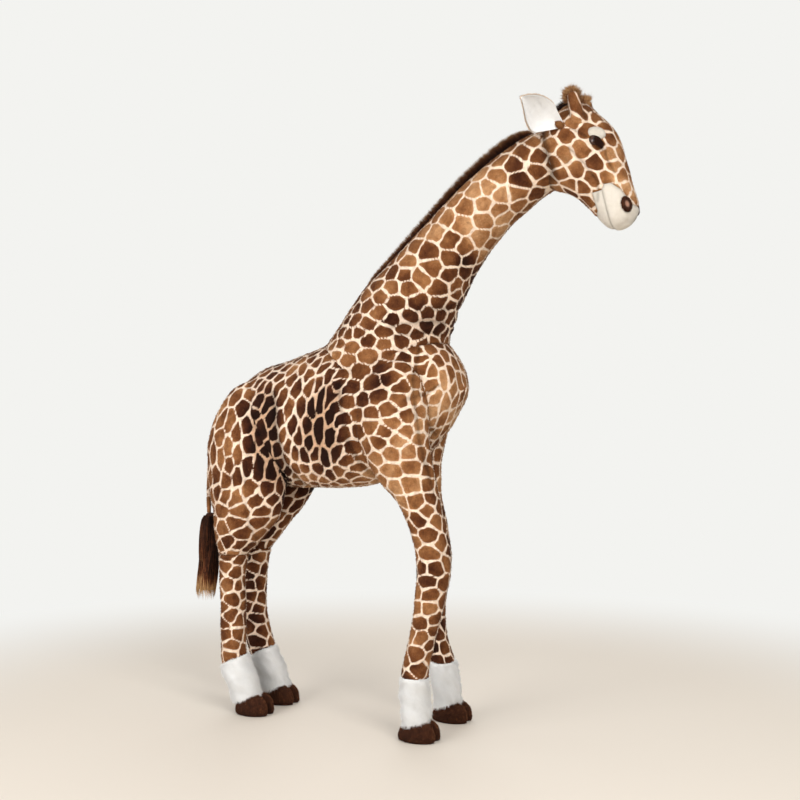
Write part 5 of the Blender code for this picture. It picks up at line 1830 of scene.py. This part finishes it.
for side_name, side in sides.items():
    surface, normal = eye_places[side_name]
    centre = surface - normal * eye_radius * eye_sink_share
    up = np.array((0.30, 0.0, 0.95))
    up = unit(up - normal * (up @ normal))
    across = np.cross(normal, up)
    ahead = across * np.sign(across[0])
    gaze = unit(normal + 0.25 * ahead - 0.05 * up)
    ball = egg_grid(centre, frame_about(gaze), (eye_radius,) * 3, 41, 64)
    tone = ((ball - centre) @ gaze) / eye_radius
    eye = egg_piece("eye_ball_" + side_name, ball, eye_plastic, tone=tone)
    place_piece(eye, "head", ("eye_" + side_name,))

    middle = centre + up * eye_radius * lid_up_share + normal * eye_radius * lid_out_share
    lid = egg_grid(middle, (across, up, normal), lid_half_sizes, 33, 72)
    away = lid - centre
    gap = np.linalg.norm(away, axis=2, keepdims=True)
    lid = centre + away / gap * np.maximum(gap, eye_radius + lid_cloth)
    skin = egg_piece("eyelid_skin_" + side_name, lid, cream_plush)
    place_piece(skin, "head", ("eyelid_" + side_name,))
    facing = grid_normals(lid[1:-1])
    keep = (facing @ normal) > -0.1
    dress("head", "white_plush", "eyelid_pile_" + side_name, lid[1:-1], facing, flat_layers(lid[1:-1]), keep,
          up, (1800, 0.0020, 0.0008), cream_plush, 400 + (side > 0))

    draw = np.random.default_rng(410 + (side > 0))
    place = draw.uniform(-0.35, 1.25, lash_count)[:, None]
    row = draw.uniform(-0.75, 0.40, lash_count)[:, None]
    out = unit(normal + ahead * place * 1.15 + up * (row - 0.10 * place))
    roots = centre + out * (eye_radius * 0.97)
    lean = unit(out * 0.7 + ahead * (0.35 + 0.5 * place) - up * 0.75 + draw.normal(0.0, 0.16, out.shape))
    reach = (0.006 + 0.008 * np.clip(place + 0.2, 0.0, 1.0)) * draw.uniform(0.7, 1.15, (lash_count, 1))
    far = np.clip(place[:, 0] * 1.6 + 0.35, 0.0, 1.0) > draw.random(lash_count) * 0.9
    run = np.linspace(0.0, 1.0, 5)[None, :, None]
    paths = roots[:, None] + (lean * reach)[:, None] * run - up * (reach[:, None] * 0.35) * run**2
    lashes = make_hair("eyelash_hairs_" + side_name, paths[far], np.full(far.sum(), 0.0009), out[far],
                       lash_colour, {"tone": 0.5, "fold": 0.0})
    place_piece(lashes, "head", ("eyelashes_" + side_name,))
print("eyes, lids and lashes made")

# %% Nostrils
nostril_ahead = 0.164
nostril_up = -0.106
nostril_half_sizes = (0.0098, 0.0150, 0.0060)
nostril_dent = 0.0024
nostril_tilt = math.radians(14.0)

for side_name, side in sides.items():
    surface, normal = head_surface(side, nostril_ahead, nostril_up)
    first, second, third = frame_about(normal)
    turned = first * math.cos(nostril_tilt) - side * second * math.sin(nostril_tilt)
    frame = (turned, np.cross(third, turned), third)
    pad = egg_grid(surface - normal * 0.0005, frame, nostril_half_sizes, 25, 56)
    flat = np.stack([(pad - surface) @ w / s for w, s in zip(frame[:2], nostril_half_sizes)], axis=-1)
    hollow = np.exp(-((np.linalg.norm(flat, axis=2) / 0.42) ** 4)) * ((pad - surface) @ third > 0)
    pad = pad - third * (hollow * nostril_dent)[:, :, None]
    skin = egg_piece("nostril_skin_" + side_name, pad, dark_pile, edge=hollow, shade=0.42)
    place_piece(skin, "head", ("nostril_" + side_name,))
    facing = grid_normals(pad[1:-1])
    layers = {**flat_layers(pad[1:-1]), "edge": hollow[1:-1]}
    layers["shade"] = layers["shade"] - 0.05
    keep = ((facing @ third) > -0.2) & (hollow[1:-1] < 0.75)
    dress("head", "dark_pile", "nostril_pile_" + side_name, pad[1:-1], facing, layers, keep, (0.0, 0.0, 1.0),
          (1500, 0.0032, 0.0009), dark_pile, 420 + (side > 0), rise=1.6)
print("nostrils made")

# %% [markdown]
# ## Horns
# Two short horns of patched cloth stand on the crown. Long bristly hair wraps the back and the top of
# each, and the front stays bare, with its patches. The hairs have several rows, so they can bend. A ball
# with a rough surface would be lighter, but the tuft's outline is loose hair, and that needs strands.

# %% Horns and their tufts
ossicone_ahead = 0.066
ossicone_up = 0.082
ossicone_aside = 0.042
ossicone_reach = 0.036
ossicone_radius = 0.0135
ossicone_sink = 0.024
bristle_count = int(3200 * strand_share)
bristle_length = 0.0160
bristle_heart = (0.005, -0.003)
bare_front = np.array((0.62, 0.78, 0.0))


def printed_layers(rule_name, grid, normal, shade):
    """What a small patched form's points carry: the pattern, no folds and an even nap."""
    shape = grid.shape[:2]
    edge, tone = paint(rule_name, grid.reshape(-1, 3), normal.reshape(-1, 3))
    return {"edge": edge.reshape(shape), "tone": tone.reshape(shape), "fold": np.zeros(shape),
            "shade": np.full(shape, shade)}


def tube_grid(path, radii, around):
    """Rings square to a path, each with its own radius."""
    path = np.asarray(path, float)
    way = unit(np.gradient(path, axis=0))
    first = unit(np.cross(way, np.array((0.31, 0.94, 0.11))))
    second = np.cross(way, first)
    turn = np.linspace(0.0, 2 * math.pi, around, endpoint=False)[None, :, None]
    spread = first[:, None] * np.cos(turn) + second[:, None] * np.sin(turn)
    return path[:, None] + spread * np.asarray(radii)[:, None, None]


for side_name, side in sides.items():
    foot = np.array((pivot_x + ossicone_ahead, side * ossicone_aside, pivot_height + ossicone_up))
    way = unit(np.array((-0.18, side * 0.08, 1.0)))
    share = np.linspace(0.0, 1.0, 22)
    radii = ossicone_radius * np.interp(share, (0.0, 0.35, 0.7, 1.0), (1.30, 1.04, 0.90, 0.80))
    path = foot + way * (share * (ossicone_reach + ossicone_sink) - ossicone_sink)[:, None]
    stem = tube_grid(path, radii, 40)
    normal = grid_normals(stem)
    layers = printed_layers("head", stem, normal, 0.62)
    mesh = grid_mesh("ossicone_skin_" + side_name, domed(stem, 0.005))
    skin = add_piece(mesh.name, mesh, patched_plush, skin_values(layers))
    place_piece(skin, "head", ("ossicone_" + side_name,))
    dress("head", "patched_plush", "ossicone_pile_" + side_name, stem, normal, layers,
          np.full(stem.shape[:2], True), way, (2600, 0.0030, 0.0010), patched_plush, 430 + (side > 0))

    draw = np.random.default_rng(440 + (side > 0))
    front_way = unit(bare_front * (1, side, 1))
    heart = path[-1] + way * bristle_heart[1] - front_way * bristle_heart[0]
    lean = unit(draw.normal(0.0, 1.0, (bristle_count * 4, 3)))
    height = lean @ way
    wanted = (lean @ front_way < 0.25 + 0.7 * np.clip(height, 0.0, 1.0)) & (height > -0.55)
    lean = lean[wanted][:bristle_count]
    roots = heart + lean * 0.006
    length = bristle_length * draw.uniform(0.60, 1.08, len(lean))
    run = np.linspace(0.0, 1.0, 4)[None, :, None]
    bend = draw.normal(0.0, 0.16, lean.shape) + way * 0.10
    reach, curl = (v * length[:, None] for v in (lean, bend))
    paths = roots[:, None] + reach[:, None] * run + curl[:, None] * run**2
    facing = lean
    back = 0.5 - 0.5 * (facing @ front_way)
    tuft = make_hair("ossicone_hair_" + side_name, paths, np.full(len(lean), 0.0011), facing, dark_pile,
                     {"tone": draw.normal(0.6, 0.3, len(lean)), "shade": 0.68 - 0.18 * back, "gold": 0.24})
    place_piece(tuft, "head", ("ossicone_tuft_" + side_name,))
print("horns made")

# %% [markdown]
# ## Ears
# An ear is two leaves of cloth sewn edge to edge and turned: patched plush behind, short white plush in
# front. It is gathered at its root, so it cups. Each leaf is a loft of flat rings along the ear's
# length, whose middle is drawn back by the cup. A sheet with a thickness modifier would do as well.

# %% Ear leaves
ear_length = 0.122
ear_width = 0.070
ear_cup = 0.012
ear_knob_sizes = (0.0070, 0.0080, 0.0120)
ear_shares = (
    (0.03, -0.10, 0.12, 0.15),
    (0.22, -0.37, 0.25, 0.70),
    (0.42, -0.60, 0.39, 1.00),
    (0.62, -0.49, 0.39, 0.90),
    (0.80, -0.27, 0.30, 0.60),
    (0.93, -0.10, 0.16, 0.25),
    (1.00, -0.03, 0.05, 0.05),
)


def ear_leaf(side, front, thickness, share, across=26, along=54):
    """Rings along the ear: each goes over the front face and back behind it. The middle is drawn back
    by the cup times one less the square of the share across, and the wall thins to its rims."""
    length_way = unit(np.array((-0.35, side * 0.84, 0.29)))
    facing = np.array((0.66, side * 0.54, -0.52))
    facing = unit(facing - length_way * (facing @ length_way))
    width_way = np.cross(facing, length_way)
    width_way = width_way * np.sign(width_way[2])
    root = ear_root(side)
    rows = smooth_rows(ear_shares, along)
    t = np.linspace(-1.0, 1.0, across)
    bow = 1.0 - t**2
    middle = (rows[:, 1] + rows[:, 2]) / 2 * ear_width * share
    half = (rows[:, 2] - rows[:, 1]) / 2 * ear_width * share
    sink = ear_cup * rows[:, 3][:, None] * bow
    base = root + (rows[:, 0] * ear_length)[:, None, None] * length_way
    base = base + (middle[:, None] + half[:, None] * t)[:, :, None] * width_way
    wall = thickness * (0.35 + 0.65 * bow)
    face = base + (front - sink)[:, :, None] * facing
    behind = base + (front - sink - wall)[:, :, None] * facing
    ring = np.concatenate([face, behind[:, ::-1]], axis=1)
    rim = np.minimum(np.abs(half[:, None] * (1 - np.abs(t))), (1.0 - rows[:, :1]) * ear_length)
    rim = np.concatenate([rim, rim[:, ::-1]], axis=1)
    return ring, rim, facing, length_way, root


for side_name, side in sides.items():
    body = "ear_" + side_name
    grid, rim, facing, length_way, root = ear_leaf(side, 0.0, 0.0035, 1.0)
    normal = grid_normals(grid)
    layers = printed_layers("head", grid, normal, 0.58)
    layers["edge"] = np.minimum(layers["edge"], rim - 0.0055)
    mesh = grid_mesh("ear_skin_" + side_name, domed(grid, 0.0006))
    skin = add_piece(mesh.name, mesh, patched_plush, skin_values(layers))
    place_piece(skin, body, ("ear_" + side_name,))
    shows = ((normal @ facing) < 0.1) | (rim < 0.006)
    dress(body, "patched_plush", "ear_pile_" + side_name, grid, normal, layers, shows, length_way,
          (6500, 0.0028, 0.0012), patched_plush, 450 + (side > 0))
    knob = egg_grid(root + length_way * 0.003, frame_about(length_way), ear_knob_sizes, 21, 32)
    gathered = egg_piece("ear_root_" + side_name, knob, patched_plush, edge=0.01, shade=0.60)
    place_piece(gathered, body, ())
    shape = knob.shape[:2]
    layers = {**flat_layers(knob), "edge": np.full(shape, 0.01), "shade": np.full(shape, 0.60)}
    dress(body, "patched_plush", "ear_root_pile_" + side_name, knob, grid_normals(knob), layers,
          np.full(shape, True), length_way, (1200, 0.0045, 0.0011), patched_plush, 455 + (side > 0), rise=0.5)
    grid, rim, *_ = ear_leaf(side, 0.0034, 0.0030, 0.95)
    normal = grid_normals(grid)
    lining = plain_skin("ear_lining_skin_" + side_name, grid, ear_plush, 0.0005)
    place_piece(lining, body, ("ear_lining_" + side_name,))
    dress(body, "white_plush", "ear_lining_pile_" + side_name, grid, normal, flat_layers(grid),
          (normal @ facing) > 0.0, length_way, (5000, 0.0020, 0.0011), ear_plush, 460 + (side > 0), rise=0.4)
print("ears made")

# %% [markdown]
# ## Mane
# The mane is a strip of longer dark pile sewn into the seam along the neck's back, cut to an even
# height. Its strands stand up from a low dark core, and they are lighter at their cut tips. A solid crest
# could carry a hair texture, but its edge would stay sharp where the real mane's is soft.

# %% Mane strands
mane_height = 0.030
mane_thickness = 0.018
mane_start_share = 0.15
mane_end_share = 0.885
mane_count = int(11500 * strand_share)
crown_count = int(700 * strand_share)


def back_line(share):
    """Places on the neck's back line by share of its course, with their outward and onward ways."""
    back = np.c_[neck_stations[:, 2], np.zeros(len(neck_stations)), neck_stations[:, 3]]
    along = unit(np.gradient(back, axis=0))
    outward = np.cross(along, (0.0, 1.0, 0.0))
    outward = outward * np.sign(outward[:, 2:3])
    places = np.asarray(share) * (len(back) - 1)
    index = np.arange(len(back))
    return [
        np.stack([np.interp(places, index, column) for column in value.T], -1)
        for value in (back, outward, along)
    ]


share = np.linspace(mane_start_share, mane_end_share, 150)
back, outward, along = back_line(share)
ends = np.linspace(-1.0, 1.0, len(share))
taper = np.sqrt(np.clip(1.0 - ends**6, 0.05, 1.0))
turn = np.linspace(0.0, 2 * math.pi, 20, endpoint=False)
rise = np.where(np.sin(turn) > 0, np.sin(turn) * mane_height * 0.36, np.sin(turn) * 0.006)
core = back[:, None] + outward[:, None] * (rise * taper[:, None])[:, :, None]
core[:, :, 1] += np.cos(turn) * mane_thickness * 0.30
core_skin = plain_skin("mane_core", core, dark_pile, 0.001)
place_piece(core_skin, "neck", ("mane",))

draw = np.random.default_rng(470)
share = draw.uniform(mane_start_share, mane_end_share, mane_count)
back, outward, along = back_line(share)
ends = (share - mane_start_share) / (mane_end_share - mane_start_share) * 2 - 1
aside = draw.uniform(-1.0, 1.0, mane_count)
clump = np.sin(share * 330.0) * 0.5 + np.sin(share * 145.0 + 2.0) * 0.5
lean = unit(outward + along * (-0.16 + 0.10 * clump + draw.normal(0.0, 0.10, mane_count))[:, None])
lean[:, 1] += aside * 0.16 + draw.normal(0.0, 0.07, mane_count)
length = mane_height * np.sqrt(np.clip(1 - ends**6, 0.05, 1)) * draw.uniform(0.86, 1.03, mane_count)
length = length * (0.66 + 0.34 * rise_between(share, 0.2, 0.7)) + 0.002
roots = back - outward * 0.002
roots[:, 1] += aside * mane_thickness * 0.36
run = np.linspace(0.0, 1.0, 3)[None, :, None]
paths = roots[:, None] + (unit(lean) * length[:, None])[:, None] * run
mane = make_hair("mane_hair", paths, np.full(mane_count, 0.0013), unit(outward + 0.5 * lean), dark_pile,
                 {"tone": draw.normal(0.45, 0.22, mane_count), "shade": 0.47, "gold": 0.42})
place_piece(mane, "neck")

on_crown = (np.abs(head_grid[:, :, 1]) < 0.010) & (head_normal[:, :, 2] > 0.3)
on_crown &= (head_grid[:, :, 0] > 0.350) & (head_grid[:, :, 0] < 0.388)
pick, weights = scatter(head_grid, on_crown, crown_count, draw)
roots = read_grid(head_grid, pick, weights)
facing = unit(read_grid(head_normal, pick, weights))
lean = unit(facing + np.array((-0.55, 0.0, 0.25)) + draw.normal(0.0, 0.15, roots.shape))
length = 0.020 * draw.uniform(0.7, 1.1, crown_count)
paths = roots[:, None] + (lean * length[:, None])[:, None] * run
crown = make_hair("crown_hair", paths, np.full(crown_count, 0.0013), facing, dark_pile,
                  {"tone": draw.normal(0.4, 0.2, crown_count), "shade": 0.36})
place_piece(crown, "head")
print(mane_count, "strands in the mane")

# %% [markdown]
# ## Tail
# A thin cord of patched plush hangs from the rump and ends in a long tuft of dark hair, which is combed
# down and cut ragged. Its hairs start round a knot at the cord's end and follow the tuft's outline. They
# could fall by a simulation, but combed hair keeps the outline that it was cut to.

# %% Cord and tuft
tail_centre = np.array((-0.45914, 0.0, belly_height + 0.157))
tail_ball_radius = 0.0095
tail_cord_radius = 0.0055
tail_cord_length = 0.226
tail_cord_lean = 0.040
tuft_length = 0.208
tuft_radius = 0.026
tuft_hairs = int(2400 * strand_share)
tuft_lean = (0.005, -0.013)
tuft_shares = (
    (0.0, 0.30), (0.02, 0.55), (0.07, 0.80), (0.18, 0.90), (0.45, 0.95), (0.72, 1.0), (0.9, 1.0), (1.0, 0.85),
)

dock_grid = egg_grid(tail_centre, np.eye(3), (tail_ball_radius,) * 3, 21, 32)
dock = egg_piece("tail_dock_skin", dock_grid, patched_plush, edge=0.01, shade=0.45)
place_piece(dock, "tail_dock", ("tail_dock",))

down = np.linspace(0.035, 1.0, 90)
cord_path = np.c_[
    tail_centre[0] - tail_cord_lean * (1 - (1 - down) ** 4),
    0 * down,
    tail_centre[2] - tail_cord_length * down,
]
cord_grid = tube_grid(cord_path, np.full(90, tail_cord_radius * 0.86), 24)
normal = grid_normals(cord_grid)
layers = printed_layers("foreleg", cord_grid, normal, 0.5)
mesh = grid_mesh("tail_cord_skin", domed(cord_grid, 0.001))
cord = add_piece("tail_cord_skin", mesh, patched_plush, skin_values(layers))
place_piece(cord, "tail_cord", ("tail_cord",))
above_knot = np.broadcast_to(down[:, None] < 0.945, cord_grid.shape[:2])
dress("tail_cord", "patched_plush", "tail_cord_pile", cord_grid, normal, layers, above_knot,
      (0.0, 0.0, -1.0), (3500, 0.0030, 0.0010), patched_plush, 480)

knot = cord_path[-1]
core_share = np.linspace(0.02, 0.86, 40)
core_size = np.interp(core_share, *np.array(tuft_shares).T) * tuft_radius * 0.74
core_path = np.c_[tuft_lean[0] + tuft_lean[1] * core_share, 0 * core_share, -core_share * tuft_length]
core_grid = tube_grid(knot + core_path, core_size, 40)
core = plain_skin("tail_tuft_core", core_grid, dark_pile, 0.004)
place_piece(core, "tail_tuft", ("tail_tuft",))

draw = np.random.default_rng(490)
turn = draw.uniform(0.0, 2 * math.pi, tuft_hairs)
start = 0.03 + draw.uniform(0.0, 0.72, tuft_hairs) ** 1.4
stop = np.minimum(start + draw.uniform(0.25, 0.55, tuft_hairs), 0.86 + 0.14 * draw.random(tuft_hairs))
depth = draw.uniform(0.80, 1.0, tuft_hairs)
run = np.linspace(0.0, 1.0, 7)[None]
share = start[:, None] + (stop - start)[:, None] * run
ragged = 0.90 + 0.10 * np.sin(9 * share + 5 * turn[:, None])
size = np.interp(share, *np.array(tuft_shares).T) * tuft_radius * (depth[:, None] * ragged)
turned = turn[:, None] + 0.10 * np.sin(12.0 * share + 3.0 * turn[:, None])
middle = knot[0] + tuft_lean[0] + tuft_lean[1] * share
fall = knot[2] - share * tuft_length
paths = np.stack([middle + size * np.cos(turned), size * np.sin(turned), fall], axis=-1)
facing = np.c_[np.cos(turn), np.sin(turn), 0.1 + 0 * turn]
left = 0.5 - 0.5 * np.cos(turn - 0.45)
tuft = make_hair("tail_tuft_hair", paths, np.full(tuft_hairs, 0.0019), facing, dark_pile,
                 {"tone": draw.normal(0.45, 0.18, tuft_hairs),
                  "shade": 0.34 + 0.26 * left, "gold": 0.15 + 1.1 * np.clip((stop - 0.84) / 0.10, 0.0, 1.0)})
place_piece(tuft, "tail_tuft")
print(tuft_hairs, "hairs in the tail's tuft")

# %% [markdown]
# ## Hardware inside
# The steel wires and the eye washers stay hidden in the toy. They keep their solids and the plain grey
# metal and pale plastic that these came with. Finer finishes could be made, but nothing shows them.

# %% Steel and washers
hidden_hardware = {
    "frame_steel": (
        "backbone_rod", "fore_rod_right", "fore_rod_left", "hind_rod_right", "hind_rod_left", "head_wire",
    ),
    "washer_plastic": ("eye_washer_right", "eye_washer_left"),
}
for slot, names in hidden_hardware.items():
    for name in names:
        solid = bpy.data.objects[name]
        solid.data.materials.clear()
        solid.data.materials.append(bpy.data.materials[slot])
print("hardware finished")
